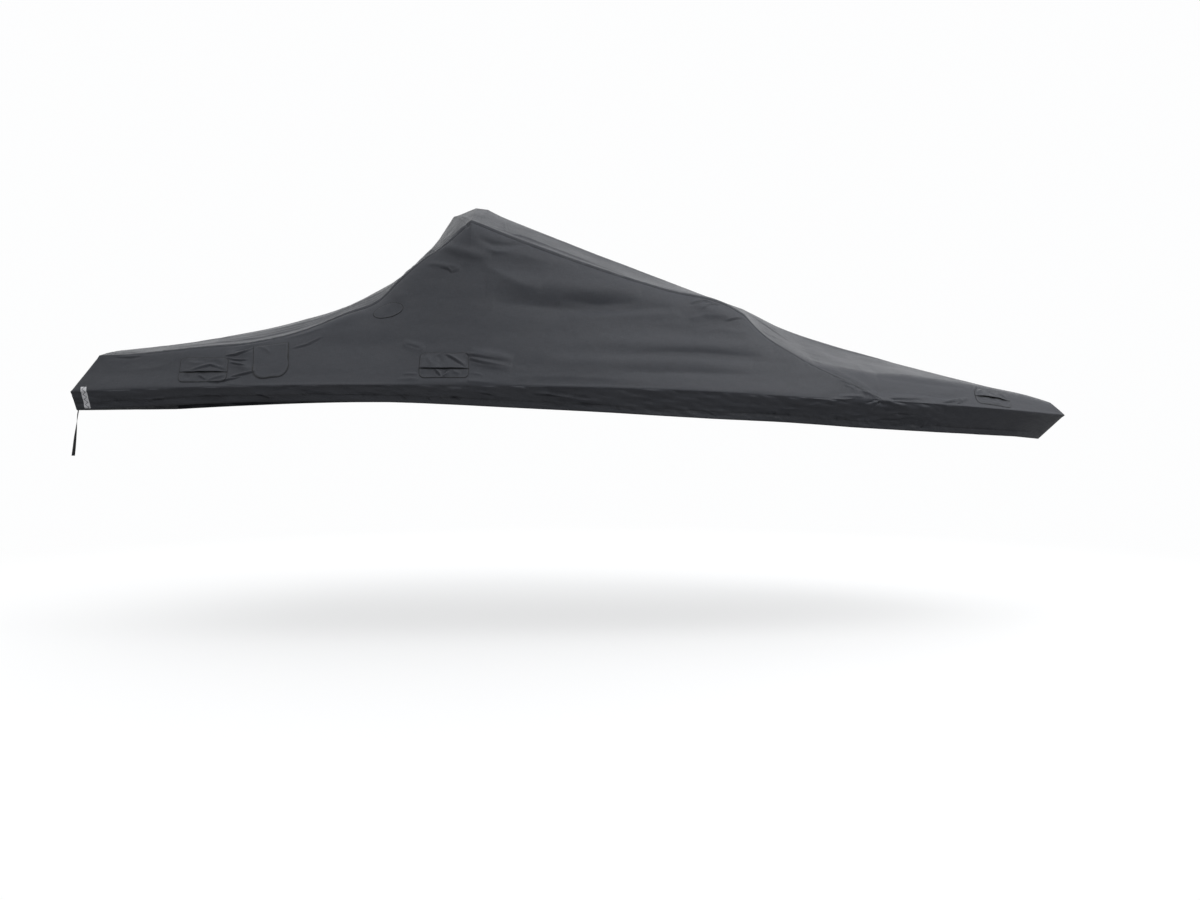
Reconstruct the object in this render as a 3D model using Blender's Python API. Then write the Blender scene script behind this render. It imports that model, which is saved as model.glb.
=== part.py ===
"""Fitted travel cover for a boat with a tower, modelled as the hollow cloth shell that it hangs as.

Sewn panels form the shell: a roof panel aft of the tower, a roof panel from the tower to the bow,
a side panel on each side, a stern panel, and a skirt that turns in below the rub rail to its hem.
Vents, access flaps, patches, corner tapes and a loose stern tie are sewn onto those panels.

Frame: +X towards the bow, +Y to port, +Z up, metres. The origin is the seat, the point under
the roof where the boat's tower carries the cover. Inside this script heights are measured from
the lowest point of the hem, and SEAT_HEIGHT brings them to the origin.
"""
import math

import bpy
import bmesh
from mathutils import Vector, geometry
from mathutils.bvhtree import BVHTree

# Cloth and sewing. SEAM_GAP is the space left between two panels, and PATCH_GAP the space below
# a piece laid over a panel. The hem is doubled below the share HEM_DOUBLED of the skirt's depth.
CLOTH = 0.0025
SEAM_GAP = 0.0003
PATCH_GAP = 0.0004
HEM_DOUBLED = 0.7
SEAT_HEIGHT = 1.727

# The stern is bulged aft in its middle, and a side panel sags in by a share of its height.
TRANSOM_BULGE = 0.05
SIDE_SAG = 0.02

# Working steps of the script, in metres where they are lengths.
GRID = 0.135
NORMAL_STEP = 0.004
LOCATE_STEP = 0.001
LOCATE_ROUNDS = 8
LOCATE_MISS = 0.002
SLOPE_SAMPLES = 6
SAME_PLACE = 0.00005
CAST_REACH = 5.0
CLEAR_ROUNDS = 4
CLEAR_SHARES = (0.25, 0.5, 0.75)

# Sharp corners: the least cosine that a mitre and an inset may be divided by.
MITRE_LEAST = 0.45
INSET_LEAST = 0.08

STARBOARD = -1.0
PORT = 1.0
SIDES = (("stbd", STARBOARD), ("port", PORT))

# The four long lines of the cover. A row is one point of the line: its x, half breadth and
# height, and whether it is a knuckle, where the line turns sharply over the frame below.
CROWN = [
    (-2.565, 0.0, 0.680, True),
    (-2.025, 0.0, 0.769, False),
    (-1.345, 0.0, 0.912, False),
    (-1.005, 0.0, 1.026, False),
    (-0.665, 0.0, 1.213, False),
    (-0.440, 0.0, 1.400, False),
    (-0.325, 0.0, 1.523, False),
    (-0.230, 0.0, 1.672, True),
    (-0.050, 0.0, 1.737, True),
    (0.040, 0.0, 1.727, True),
    (0.125, 0.0, 1.685, False),
    (0.350, 0.0, 1.596, False),
    (1.025, 0.0, 1.335, False),
    (1.600, 0.0, 1.118, False),
    (1.945, 0.0, 0.996, True),
    (2.155, 0.0, 0.888, False),
    (2.495, 0.0, 0.757, False),
    (2.945, 0.0, 0.626, False),
    (3.515, 0.0, 0.475, False),
    (3.740, 0.0, 0.420, False),
    (4.080, 0.0, 0.347, False),
    (4.255, 0.0, 0.295, True),
    (4.380, 0.0, 0.193, True),
]
SHOULDER = [
    (-2.505, 1.060, 0.604, True),
    (-2.300, 1.065, 0.608, False),
    (-1.870, 1.074, 0.650, False),
    (-1.445, 1.057, 0.692, False),
    (-1.155, 1.026, 0.764, False),
    (-0.870, 0.977, 0.880, False),
    (-0.610, 0.919, 0.998, False),
    (-0.510, 0.902, 1.103, False),
    (-0.320, 0.874, 1.274, False),
    (-0.225, 0.862, 1.340, False),
    (-0.010, 0.850, 1.526, True),
    (0.230, 0.853, 1.428, False),
    (0.720, 0.858, 1.247, False),
    (1.330, 0.879, 1.053, False),
    (1.770, 0.897, 0.935, False),
    (1.860, 0.905, 0.882, True),
    (1.975, 0.936, 0.758, False),
    (2.180, 0.989, 0.617, False),
    (2.585, 1.058, 0.405, False),
    (2.795, 1.043, 0.301, True),
]
RAIL = [
    (-2.665, 1.160, 0.359, True),
    (-2.000, 1.220, 0.383, False),
    (-1.100, 1.260, 0.402, False),
    (-0.200, 1.280, 0.402, False),
    (0.900, 1.280, 0.385, False),
    (1.540, 1.255, 0.363, False),
    (2.400, 1.145, 0.315, False),
    (2.795, 1.043, 0.301, False),
    (3.290, 0.880, 0.271, False),
    (3.750, 0.655, 0.238, False),
    (4.030, 0.445, 0.217, False),
    (4.220, 0.250, 0.203, False),
    (4.330, 0.110, 0.196, False),
    (4.380, 0.000, 0.193, True),
]
HEM = [
    (-2.650, 1.100, 0.237, True),
    (-2.000, 1.160, 0.270, False),
    (-1.120, 1.200, 0.295, False),
    (-0.450, 1.213, 0.287, False),
    (0.200, 1.220, 0.257, False),
    (0.875, 1.220, 0.224, False),
    (1.540, 1.193, 0.185, False),
    (2.100, 1.115, 0.156, False),
    (2.600, 1.005, 0.120, False),
    (3.170, 0.805, 0.084, False),
    (3.670, 0.540, 0.056, False),
    (4.000, 0.270, 0.034, False),
    (4.120, 0.110, 0.022, False),
    (4.185, 0.000, 0.015, True),
]

# Stations run from the stern to the bow. A row is the station's name, its x on the crown, the
# shoulder, the rail and the hem, and the number of grid rows from the station before it.
STATIONS = [
    ("stern", -2.565, -2.505, -2.665, -2.650, 0),
    ("quarter", -1.900, -1.900, -1.950, -1.950, 6),
    ("hollow", -0.800, -0.800, -0.800, -0.800, 9),
    ("tower_rear", -0.230, -0.035, -0.035, -0.035, 7),
    ("tower_peak", -0.050, -0.010, -0.010, -0.010, 1),
    ("tower_front", 0.040, 0.040, 0.040, 0.040, 1),
    ("windshield", 1.945, 1.860, 1.860, 1.860, 15),
    ("seam_end", 2.750, 2.795, 2.795, 2.745, 8),
    ("bow", 4.380, 4.380, 4.380, 4.185, 14),
]
CROWN_X = 1
SHOULDER_X = 2
RAIL_X = 3
HEM_X = 4
STEPS = 5

# How the roof falls from its crown to its edge. A row is x, then the breadth and the drop of the
# break in each slope as shares of the way to the edge, then the softness that rounds the break.
ROOF_BREAKS = [
    (-2.60, 0.70, 0.48, 0.25),
    (-1.20, 0.55, 0.42, 0.30),
    (-0.20, 0.50, 0.42, 0.20),
    (1.00, 0.55, 0.42, 0.30),
    (1.90, 0.62, 0.48, 0.25),
    (2.35, 0.93, 0.90, 0.06),
    (2.66, 0.88, 0.62, 0.08),
    (2.96, 0.83, 0.47, 0.09),
    (3.26, 0.79, 0.38, 0.10),
    (3.51, 0.75, 0.30, 0.12),
    (3.90, 0.65, 0.22, 0.15),
    (4.38, 0.60, 0.35, 0.20),
]

# The ridge of the crown is rounded by this softness at least, out to this share of the breadth.
RIDGE_ROUNDING = 0.12
RIDGE_REACH = 0.4

# Main folds of the cloth, as seen from the side and the same to port and to starboard. A row is
# the kind of panel, the x and height of both ends of a soft ridge, the width to the side of its
# crest, and its rise above the panel. A fold dies out at both its ends and at the seams.
FOLDS = [
    ("side", -0.260, 1.370, 0.130, 1.265, 0.035, 0.014),
    ("side", 0.100, 1.090, 1.150, 1.020, 0.080, 0.020),
    ("side", 0.700, 0.700, 2.050, 0.640, 0.060, 0.012),
    ("side", 0.450, 0.565, 1.900, 0.545, 0.045, 0.010),
    ("side", 1.500, 0.955, 1.850, 0.835, 0.035, 0.010),
    ("side", 0.010, 0.622, 0.300, 0.575, 0.026, 0.013),
    ("side", 0.015, 0.570, 0.290, 0.515, 0.026, 0.012),
    ("side", -0.450, 0.685, -0.290, 0.640, 0.026, 0.009),
    ("side", -1.640, 0.605, -1.450, 0.625, 0.024, 0.010),
    ("side", -1.610, 0.560, -1.420, 0.490, 0.024, 0.010),
    ("side", -1.000, 0.795, -0.720, 0.895, 0.035, 0.008),
    ("fore", 2.800, 0.335, 3.350, 0.345, 0.026, 0.012),
    ("fore", 3.180, 0.285, 3.450, 0.310, 0.020, 0.010),
    ("fore", 2.450, 0.495, 2.760, 0.345, 0.024, 0.010),
    ("skirt", 2.200, 0.255, 2.750, 0.285, 0.024, 0.009),
    ("skirt", 2.820, 0.285, 3.250, 0.220, 0.024, 0.009),
    ("skirt", -1.500, 0.335, -1.080, 0.355, 0.024, 0.008),
]

# A fold's feet lie FOLD_FOOT widths from its crest, and its points along are FOLD_STEP apart.
# Other points keep FOLD_CLEAR from them. FOLD_TAPER shapes its ends, and it fades over SEAM_FADE.
FOLD_FOOT = 1.3
FOLD_STEP = 0.075
FOLD_CLEAR = 0.035
FOLD_TAPER = 0.6
SEAM_FADE = 0.030
PANEL_FOLDS = {"side_panel": "side", "roof_fore": "fore", "skirt": "skirt"}

# Vents sewn over the panels. A row is the vent's name, its panel, the x and height of the middle
# of its upper edge as seen from the side, its width, its height, its lean about that middle, the
# share of the height that the hood covers, and how far the hood's free lower edge stands off the
# panel. A flap covers the rest of the height.
VENTS = [
    ("aft", "side_panel_{}", -1.775, 0.590, 0.330, 0.168, 0.00, 0.60, 0.014),
    ("mid", "side_panel_{}", -0.160, 0.618, 0.330, 0.170, 0.00, 0.62, 0.014),
    ("bow", "roof_fore", 3.668, 0.370, 0.300, 0.106, -0.13, 0.52, 0.020),
]
VENT_CORNER = 0.035
VENT_SPLIT = 0.003

# The hood bellies out most in its middle and towards its free edge: a larger HOOD_FULLNESS keeps
# more of its breadth off the panel, and a larger HOOD_FLARE opens it later.
HOOD_FULLNESS = 2.5
HOOD_FLARE = 1.3

# The flap below it lifts a little in soft ridges.
FLAP_LIFT = 0.004
FLAP_RIDGES = 1.5

# Access flap: straight top edge, lower corners on a wide radius.
FLAP_X = -1.341
FLAP_TOP = 0.678
FLAP_WIDTH = 0.240
FLAP_HEIGHT = 0.228
FLAP_LEAN = 0.120
FLAP_TOP_RADIUS = 0.006
FLAP_RADIUS = 0.075

# Oval patch where the cloth turns up to the tower.
OVAL_X = -0.572
OVAL_TOP = 0.958
OVAL_WIDTH = 0.215
OVAL_HEIGHT = 0.100
OVAL_LEAN = 0.270
OVAL_BLUNT = 0.12

# Light tape sewn down over the rub rail at each stern corner.
TAPE_X = -2.577
TAPE_TOP = 0.392
TAPE_WIDTH = 0.042
TAPE_LEAN = 0.070
TAPE_THICKNESS = 0.0015
TAPE_END = 0.006
TAPE_TURN = 0.010

# Loose tie at the starboard stern corner: sewn inside the stern hem over the heights in TIE_SEWN,
# and hanging free below it. A row of its path is x, y and height, and how far the webbing has
# twisted there, in degrees.
TIE_WIDTH = 0.026
TIE_THICKNESS = 0.0018
TIE_Y = -1.076
TIE_SEWN = (0.268, 0.240)
TIE_PATH = [
    (-2.650, -1.078, 0.200, -8.0),
    (-2.654, -1.081, 0.150, -24.0),
    (-2.659, -1.084, 0.100, -44.0),
    (-2.666, -1.086, 0.040, -60.0),
    (-2.672, -1.087, -0.020, -70.0),
    (-2.679, -1.088, -0.072, -76.0),
]


def station_marks():
    """Station parameter of each named station, counted in grid rows from the stern."""
    marks = {}
    total = 0
    for row in STATIONS:
        total += row[STEPS]
        marks[row[0]] = float(total)
    return marks


MARKS = station_marks()
LAST_MARK = MARKS["bow"]


def clamp(value, low=0.0, high=1.0):
    return max(low, min(high, value))


def smoothstep(value):
    value = clamp(value)
    return value * value * (3.0 - 2.0 * value)


def line_x(station, column):
    """X where a station crosses one of the long lines."""
    station = clamp(station, 0.0, LAST_MARK)
    for before, after in zip(STATIONS, STATIONS[1:]):
        start = MARKS[before[0]]
        end = MARKS[after[0]]
        if station <= end:
            share = (station - start) / (end - start)
            return before[column] + (after[column] - before[column]) * share
    return STATIONS[-1][column]


def chord(rows, column, index):
    return (rows[index + 1][column] - rows[index][column]) / (rows[index + 1][0] - rows[index][0])


def middle_slope(rows, column, index):
    """Slope of the parabola through a point and its two neighbours."""
    before = rows[index][0] - rows[index - 1][0]
    after = rows[index + 1][0] - rows[index][0]
    slope_before = chord(rows, column, index - 1)
    slope_after = chord(rows, column, index)
    return (slope_before * after + slope_after * before) / (before + after)


def is_corner(rows, index):
    return index in (0, len(rows) - 1) or rows[index][3]


def curve_value(rows, column, x):
    """Smooth cubic through the rows of a line, broken at its corners."""
    x = clamp(x, rows[0][0], rows[-1][0])
    index = 0
    while index < len(rows) - 2 and x > rows[index + 1][0]:
        index += 1
    straight = chord(rows, column, index)
    start_slope = None if is_corner(rows, index) else middle_slope(rows, column, index)
    end_slope = None if is_corner(rows, index + 1) else middle_slope(rows, column, index + 1)
    if start_slope is None:
        start_slope = straight if end_slope is None else 1.5 * straight - 0.5 * end_slope
    if end_slope is None:
        end_slope = 1.5 * straight - 0.5 * start_slope
    span = rows[index + 1][0] - rows[index][0]
    share = (x - rows[index][0]) / span
    square = share * share
    cube = square * share
    value = rows[index][column] * (2.0 * cube - 3.0 * square + 1.0)
    value += rows[index + 1][column] * (3.0 * square - 2.0 * cube)
    value += span * start_slope * (cube - 2.0 * square + share)
    value += span * end_slope * (cube - square)
    return value


def table_value(rows, column, x):
    """Straight interpolation in a table whose first column is x."""
    x = clamp(x, rows[0][0], rows[-1][0])
    for before, after in zip(rows, rows[1:]):
        if x <= after[0]:
            share = (x - before[0]) / (after[0] - before[0])
            return before[column] + (after[column] - before[column]) * share
    return rows[-1][column]


def line_point(rows, x):
    """Point on the port half of a long line."""
    return Vector((x, max(curve_value(rows, 1, x), 0.0), curve_value(rows, 2, x)))


def crown_point(station):
    return line_point(CROWN, line_x(station, CROWN_X))


def rail_point(station):
    return line_point(RAIL, line_x(station, RAIL_X))


def hem_point(station):
    return line_point(HEM, line_x(station, HEM_X))


def edge_point(station):
    """Outer edge of the roof: the shoulder seam, and forward of its end the rub rail."""
    if station >= MARKS["seam_end"]:
        return rail_point(station)
    return line_point(SHOULDER, line_x(station, SHOULDER_X))


def broken_slope(share, breadth, drop):
    """Straight fall from the crown to the break and on to the edge, the same on both sides."""
    share = abs(share)
    if share < breadth:
        return share * drop / breadth
    return drop + (share - breadth) * (1.0 - drop) / (1.0 - breadth)


def rounded_slope(share, breadth, drop, softness):
    """The broken slope averaged over a short width, which rounds its break."""
    width = min(softness, 1.0 - share)
    total = 0.0
    for index in range(SLOPE_SAMPLES):
        offset = (index + 0.5) / SLOPE_SAMPLES * 2.0 - 1.0
        total += broken_slope(share + offset * width, breadth, drop)
    return total / SLOPE_SAMPLES


def roof_fall(share, x):
    """Share of the fall from crown to edge that a point across the roof has."""
    breadth = table_value(ROOF_BREAKS, 1, x)
    drop = table_value(ROOF_BREAKS, 2, x)
    softness = table_value(ROOF_BREAKS, 3, x)
    near_crown = max(softness, RIDGE_ROUNDING)
    blend = smoothstep(share / RIDGE_REACH)
    width = near_crown + (softness - near_crown) * blend
    top = rounded_slope(0.0, breadth, drop, near_crown)
    fall = rounded_slope(share, breadth, drop, width)
    return (fall - top) / (1.0 - top)


def roof_point(station, across):
    """Roof surface. "across" runs from -1 at the starboard edge to 1 at the port edge."""
    share = abs(across)
    crown = crown_point(station)
    edge = edge_point(station)
    if share >= 1.0:
        fall = 1.0
    else:
        fall = roof_fall(share, crown.x)
    x = crown.x + (edge.x - crown.x) * share
    z = crown.z + (edge.z - crown.z) * fall
    return Vector((x, edge.y * across, z))


def side_point(station, up, side):
    """Side panel from the rub rail, up = 0, to the shoulder seam, up = 1."""
    low = rail_point(station)
    high = edge_point(station)
    point = low.lerp(high, up)
    point.y -= SIDE_SAG * (high - low).length * 4.0 * up * (1.0 - up)
    point.y *= side
    return point


def skirt_point(station, down, side):
    """Skirt from the rub rail, down = 0, to the bottom of the hem, down = 1."""
    point = rail_point(station).lerp(hem_point(station), down)
    point.y *= side
    return point


def transom_edge(corner, across):
    """Line across the stern between its two corners, bulged aft."""
    x = corner.x - TRANSOM_BULGE * (1.0 - across * across)
    return Vector((x, corner.y * across, corner.z))


def stern_point(across, up):
    """Stern panel from the rub rail, up = 0, to the roof, up = 1."""
    low = transom_edge(rail_point(0.0), across)
    high = roof_point(0.0, across)
    point = low.lerp(high, up)
    length = (edge_point(0.0) - rail_point(0.0)).length
    point.y -= across * SIDE_SAG * length * 4.0 * up * (1.0 - up)
    return point


def stern_skirt_point(across, down):
    low = transom_edge(hem_point(0.0), across)
    return transom_edge(rail_point(0.0), across).lerp(low, down)


def divisions(length, least=1):
    return max(least, round(length / GRID))


def shares(count, low=0.0, high=1.0):
    return [low + (high - low) * index / count for index in range(count + 1)]


class Panel:
    """A sewn panel: a flat map of its surface, and the surface itself.

    "rows" holds, for each step along the panel, the surface parameters of the points across it.
    "flat" maps parameters to the laid-out cloth, where the triangles are made.
    """

    def __init__(self, name, surface, flat, rows, outward):
        self.name = name
        self.surface = surface
        self.flat = flat
        self.rows = rows
        self.outward = outward
        self.doubled = None

    def outline(self):
        """Parameters round the edge of the panel, each place once."""
        loop = list(self.rows[0])
        loop += [row[-1] for row in self.rows[1:-1]]
        loop += list(reversed(self.rows[-1]))
        loop += [row[0] for row in reversed(self.rows[1:-1])]
        return loop

    def inside(self):
        return [place for row in self.rows[1:-1] for place in row[1:-1]]

    def normal(self, first, second):
        """Unit normal of the surface, taken a little inside the panel's ends."""
        step = NORMAL_STEP
        low = [min(place[axis] for row in self.rows for place in row) for axis in (0, 1)]
        high = [max(place[axis] for row in self.rows for place in row) for axis in (0, 1)]
        first = clamp(first, low[0] + step * 2.0, high[0] - step * 2.0)
        second = clamp(second, low[1] + step * 2.0, high[1] - step * 2.0)
        along = self.surface(first + step, second) - self.surface(first - step, second)
        across = self.surface(first, second + step) - self.surface(first, second - step)
        found = along.cross(across).normalized()
        if found.dot(self.outward) < 0.0:
            found.negate()
        return found


def roof_panel(name, start, end):
    first = int(MARKS[start])
    last = int(MARKS[end])
    rows = []
    for station in range(first, last + 1):
        breadth = edge_point(station).y
        if breadth < 0.001:
            rows.append([(float(station), 0.0)])
            continue
        count = 2 * divisions(breadth, 2)
        rows.append([(float(station), across) for across in shares(count, -1.0, 1.0)])

    def flat(station, across):
        return Vector((crown_point(station).x, across * edge_point(station).y))

    return Panel(name, roof_point, flat, rows, Vector((0.0, 0.0, 1.0)))


def side_panel(name, side):
    last = int(MARKS["seam_end"])
    rows = []
    for station in range(last + 1):
        height = (edge_point(station) - rail_point(station)).length
        if height < 0.001:
            rows.append([(float(station), 0.0)])
            continue
        rows.append([(float(station), up) for up in shares(divisions(height, 2))])

    def surface(station, up):
        return side_point(station, up, side)

    def flat(station, up):
        height = (edge_point(station) - rail_point(station)).length
        return Vector((line_x(station, RAIL_X), up * height))

    return Panel(name, surface, flat, rows, Vector((0.0, side, 0.0)))


def skirt_panel(name, side):
    rows = []
    for station in range(int(LAST_MARK) + 1):
        rows.append([(float(station), down) for down in (0.0, HEM_DOUBLED, 1.0)])

    def surface(station, down):
        return skirt_point(station, down, side)

    def flat(station, down):
        height = (rail_point(station) - hem_point(station)).length
        return Vector((station * GRID, down * height))

    panel = Panel(name, surface, flat, rows, Vector((0.3, side, 0.0)))
    panel.doubled = HEM_DOUBLED
    return panel


def stern_panels():
    """Stern panel and the skirt below it, which share their points across."""
    columns = [place[1] for place in roof_panel("", "stern", "quarter").rows[0]]
    height = (edge_point(0.0) - rail_point(0.0)).length
    ups = shares(divisions(height, 2))
    breadth = rail_point(0.0).y
    drop = (rail_point(0.0) - hem_point(0.0)).length

    def flat_panel(across, up):
        return Vector((across * breadth, up * height))

    def flat_skirt(across, down):
        return Vector((across * breadth, down * drop))

    aft = Vector((-1.0, 0.0, 0.0))
    panel_rows = [[(across, up) for up in ups] for across in columns]
    skirt_rows = [[(across, down) for down in (0.0, HEM_DOUBLED, 1.0)] for across in columns]
    panel = Panel("stern_panel", stern_point, flat_panel, panel_rows, aft)
    skirt = Panel("stern_skirt", stern_skirt_point, flat_skirt, skirt_rows, aft)
    skirt.doubled = HEM_DOUBLED
    return [panel, skirt]


def to_segment(point, start, end):
    """Distance from a flat point to a segment, and the share of the segment beside it."""
    along = end - start
    share = clamp((point - start).dot(along) / along.length_squared)
    return (point - start - along * share).length, share


def fold_kind(name):
    for label, kind in PANEL_FOLDS.items():
        if name.startswith(label):
            return kind
    return None


def fold_rise(kind, point):
    """Height of the folds of one kind of panel at a point of its surface."""
    total = 0.0
    seen = Vector((point.x, point.z))
    for row in FOLDS:
        if row[0] != kind:
            continue
        distance, share = to_segment(seen, Vector(row[1:3]), Vector(row[3:5]))
        taper = max(math.sin(math.pi * share), 0.0) ** FOLD_TAPER
        total += row[6] * taper * math.exp(-((distance / row[5]) ** 2))
    return total


def locate(panel, x, height, side):
    """Surface parameters of the place on a panel that is seen at x and height from the side."""
    target = Vector((x, height))

    def seen(place):
        point = panel.surface(*place)
        return Vector((point.x, point.z))

    choices = [place for row in panel.rows for place in row]
    if panel.name.startswith("roof"):
        choices = [place for place in choices if place[1] * side > 0.0]
    place = min(choices, key=lambda choice: (seen(choice) - target).length)
    place = Vector(place)
    step = LOCATE_STEP
    for _ in range(LOCATE_ROUNDS):
        miss = target - seen(place)
        first = (seen(place + Vector((step, 0.0))) - seen(place)) / step
        second = (seen(place + Vector((0.0, step))) - seen(place)) / step
        size = first.x * second.y - first.y * second.x
        if abs(size) < 1e-7:
            break
        change = Vector((miss.x * second.y - miss.y * second.x, first.x * miss.y - first.y * miss.x))
        place += change / size
    return place, (target - seen(place)).length


def fold_places(panel, side):
    """Places along the crest and the two feet of each fold of a panel."""
    kind = fold_kind(panel.name)
    found = []
    for row in FOLDS:
        if row[0] != kind:
            continue
        start = Vector(row[1:3])
        end = Vector(row[3:5])
        along = (end - start).normalized()
        beside = Vector((-along.y, along.x)) * row[5] * FOLD_FOOT
        count = max(2, round((end - start).length / max(FOLD_STEP, row[5] * 2.0)))
        for offset in (-1.0, 0.0, 1.0):
            for index in range(count + 1):
                seen = start.lerp(end, index / count) + beside * offset
                place, miss = locate(panel, seen.x, seen.y, side)
                if miss < LOCATE_MISS:
                    found.append(tuple(place))
    return found


def edge_distance(panel, place, rim):
    flat = panel.flat(*place)
    return min(to_segment(flat, first, second)[0] for first, second in zip(rim, rim[1:] + rim[:1]))


def inside_outline(point, rim):
    """Whether a flat point lies inside a closed outline."""
    inside = False
    for first, second in zip(rim, rim[1:] + rim[:1]):
        if (first.y > point.y) != (second.y > point.y):
            crossing = first.x + (second.x - first.x) * (point.y - first.y) / (second.y - first.y)
            if point.x < crossing:
                inside = not inside
    return inside


def folded_inside(panel, outline):
    """Inner places of a panel: those of its folds, and the grid where no fold is near."""
    rim = [panel.flat(*place) for place in outline]
    sides = [STARBOARD, PORT] if panel.name.startswith("roof") else [0.0]
    kept = []
    for side in sides:
        for place in fold_places(panel, side):
            flat = panel.flat(*place)
            if not inside_outline(flat, rim) or edge_distance(panel, place, rim) < FOLD_CLEAR * 0.6:
                continue
            if all((flat - other).length > FOLD_CLEAR * 0.5 for _, other in kept):
                kept.append((place, flat))
    fold_flats = [flat for _, flat in kept]
    for place in panel.inside():
        flat = panel.flat(*place)
        if all((flat - other).length > FOLD_CLEAR for other in fold_flats):
            kept.append((place, flat))
    return [place for place, _ in kept]


def place_key(point):
    return tuple(round(value / SAME_PLACE) for value in point)


def seam_normals(panels):
    """Normals of all the panels that meet at each point of their edges."""
    met = {}
    for panel in panels:
        for place in panel.outline():
            key = place_key(panel.surface(*place))
            met.setdefault(key, []).append(panel.normal(*place))
    return met


def mitre(normals):
    """Direction and length that carry an edge point through one thickness of cloth."""
    total = Vector((0.0, 0.0, 0.0))
    for normal in normals:
        total += normal
    direction = total.normalized()
    least = min(direction.dot(normal) for normal in normals)
    return direction / max(least, MITRE_LEAST)


def triangles_of(panel, outline, inside):
    """Delaunay triangles of the panel laid flat, as indices into outline + inside."""
    flat = [panel.flat(*place) for place in outline + inside]
    rim = list(range(len(outline)))
    result = geometry.delaunay_2d_cdt(flat, [], [rim], 1, 1e-6)
    origins = result[3]
    faces = []
    for face in result[2]:
        corners = [origins[corner][0] for corner in face]
        if len(set(corners)) == 3:
            faces.append(corners)
    return faces


def edge_insets(points, faces, gap):
    """Move of each edge point into its panel that leaves half a seam gap all along the edge."""
    count = {}
    for face in faces:
        for first, second in zip(face, face[1:] + face[:1]):
            pair = (min(first, second), max(first, second))
            count.setdefault(pair, []).append(face)
    inward = {}
    for (first, second), owners in count.items():
        if len(owners) != 1:
            continue
        third = [corner for corner in owners[0] if corner not in (first, second)][0]
        along = (points[second] - points[first]).normalized()
        to_third = points[third] - points[first]
        direction = (to_third - along * to_third.dot(along)).normalized()
        inward.setdefault(first, []).append(direction)
        inward.setdefault(second, []).append(direction)
    moves = {}
    for corner, directions in inward.items():
        one = directions[0]
        other = directions[-1]
        moves[corner] = (one + other) * (gap / max(1.0 + one.dot(other), INSET_LEAST))
    return moves


def rim_edges(faces):
    """Edges with a triangle on one side only, in that triangle's direction."""
    directed = set()
    for face in faces:
        for first, second in zip(face, face[1:] + face[:1]):
            directed.add((first, second))
    return [pair for pair in directed if (pair[1], pair[0]) not in directed]


def close_shell(name, outer, inner, faces, material):
    """Closed solid from two matching layers of points and the triangles that join them."""
    mesh = bmesh.new()
    tops = [mesh.verts.new(point) for point in outer]
    bottoms = [mesh.verts.new(point) for point in inner]
    for face in faces:
        mesh.faces.new([tops[corner] for corner in face])
        mesh.faces.new([bottoms[corner] for corner in reversed(face)])
    for first, second in sorted(rim_edges(faces)):
        mesh.faces.new([tops[second], tops[first], bottoms[first], bottoms[second]])
    bmesh.ops.triangulate(mesh, faces=mesh.faces[:])
    bmesh.ops.recalc_face_normals(mesh, faces=mesh.faces[:])
    return add_object(name, mesh, material)


def add_object(name, mesh, material):
    data = bpy.data.meshes.new(name)
    mesh.to_mesh(data)
    mesh.free()
    data.shade_smooth()
    data.set_sharp_from_angle(angle=math.radians(35.0))
    data.materials.append(material)
    item = bpy.data.objects.new(name, data)
    bpy.context.scene.collection.objects.link(item)
    item.parent = bpy.data.objects["hem_datum"]
    return item


def build_panel(panel, met, material):
    """One panel as a solid of even thickness whose edges stop just short of its seams."""
    outline = panel.outline()
    inside = folded_inside(panel, outline)
    places = outline + inside
    faces = triangles_of(panel, outline, inside)
    rim = [panel.flat(*place) for place in outline]
    points = [panel.surface(*place) for place in places]
    kind = fold_kind(panel.name)
    for index in range(len(outline), len(places)):
        fade = smoothstep(edge_distance(panel, places[index], rim) / SEAM_FADE)
        points[index] += panel.normal(*places[index]) * fold_rise(kind, points[index]) * fade
    for face in faces:
        first, second, third = (points[corner] for corner in face)
        facing = (second - first).cross(third - first)
        if facing.dot(panel.normal(*places[face[0]])) < 0.0:
            face.reverse()
    moves = edge_insets(points, faces, SEAM_GAP / 2.0)
    outer = []
    inner = []
    for index, place in enumerate(places):
        point = points[index]
        if index < len(outline):
            through = mitre(met[place_key(point)])
        else:
            through = panel.normal(*place)
        depth = CLOTH
        if panel.doubled is not None and place[1] > panel.doubled:
            depth = 2.0 * CLOTH
        move = moves.get(index, Vector((0.0, 0.0, 0.0)))
        outer.append(point + move)
        inner.append(point + move - through * depth)
    close_shell(panel.name, outer, inner, faces, material)
    return BVHTree.FromPolygons(outer, faces)


def rounded_half(down, width, height, top_radius, bottom_radius):
    """Half width of a rounded rectangle at a distance below its top edge."""
    inset = 0.0
    if down < top_radius:
        inset = top_radius - math.sqrt(top_radius ** 2 - (top_radius - down) ** 2)
    rest = height - down
    if rest < bottom_radius:
        inset = bottom_radius - math.sqrt(max(bottom_radius ** 2 - (bottom_radius - rest) ** 2, 0.0))
    return width / 2.0 - inset


def oval_half(down, width, height):
    middle = 2.0 * down / height - 1.0
    return max(width / 2.0 * math.sqrt(max(1.0 - middle * middle, 0.0)), width * OVAL_BLUNT)


def flat_rows(downs, half_of, columns):
    """Rows of flat points (across, down), each row from one edge of the piece to the other."""
    rows = []
    for down in downs:
        half = half_of(down)
        rows.append([(across * half, down) for across in shares(columns, -1.0, 1.0)])
    return rows


def skin_place(skin, x, height, side):
    """Point and outward normal of a panel where it is seen at x and height from one side."""
    start = Vector((x, side * CAST_REACH, height))
    point, normal, _, _ = skin.ray_cast(start, Vector((0.0, -side, 0.0)))
    return point, normal


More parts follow.
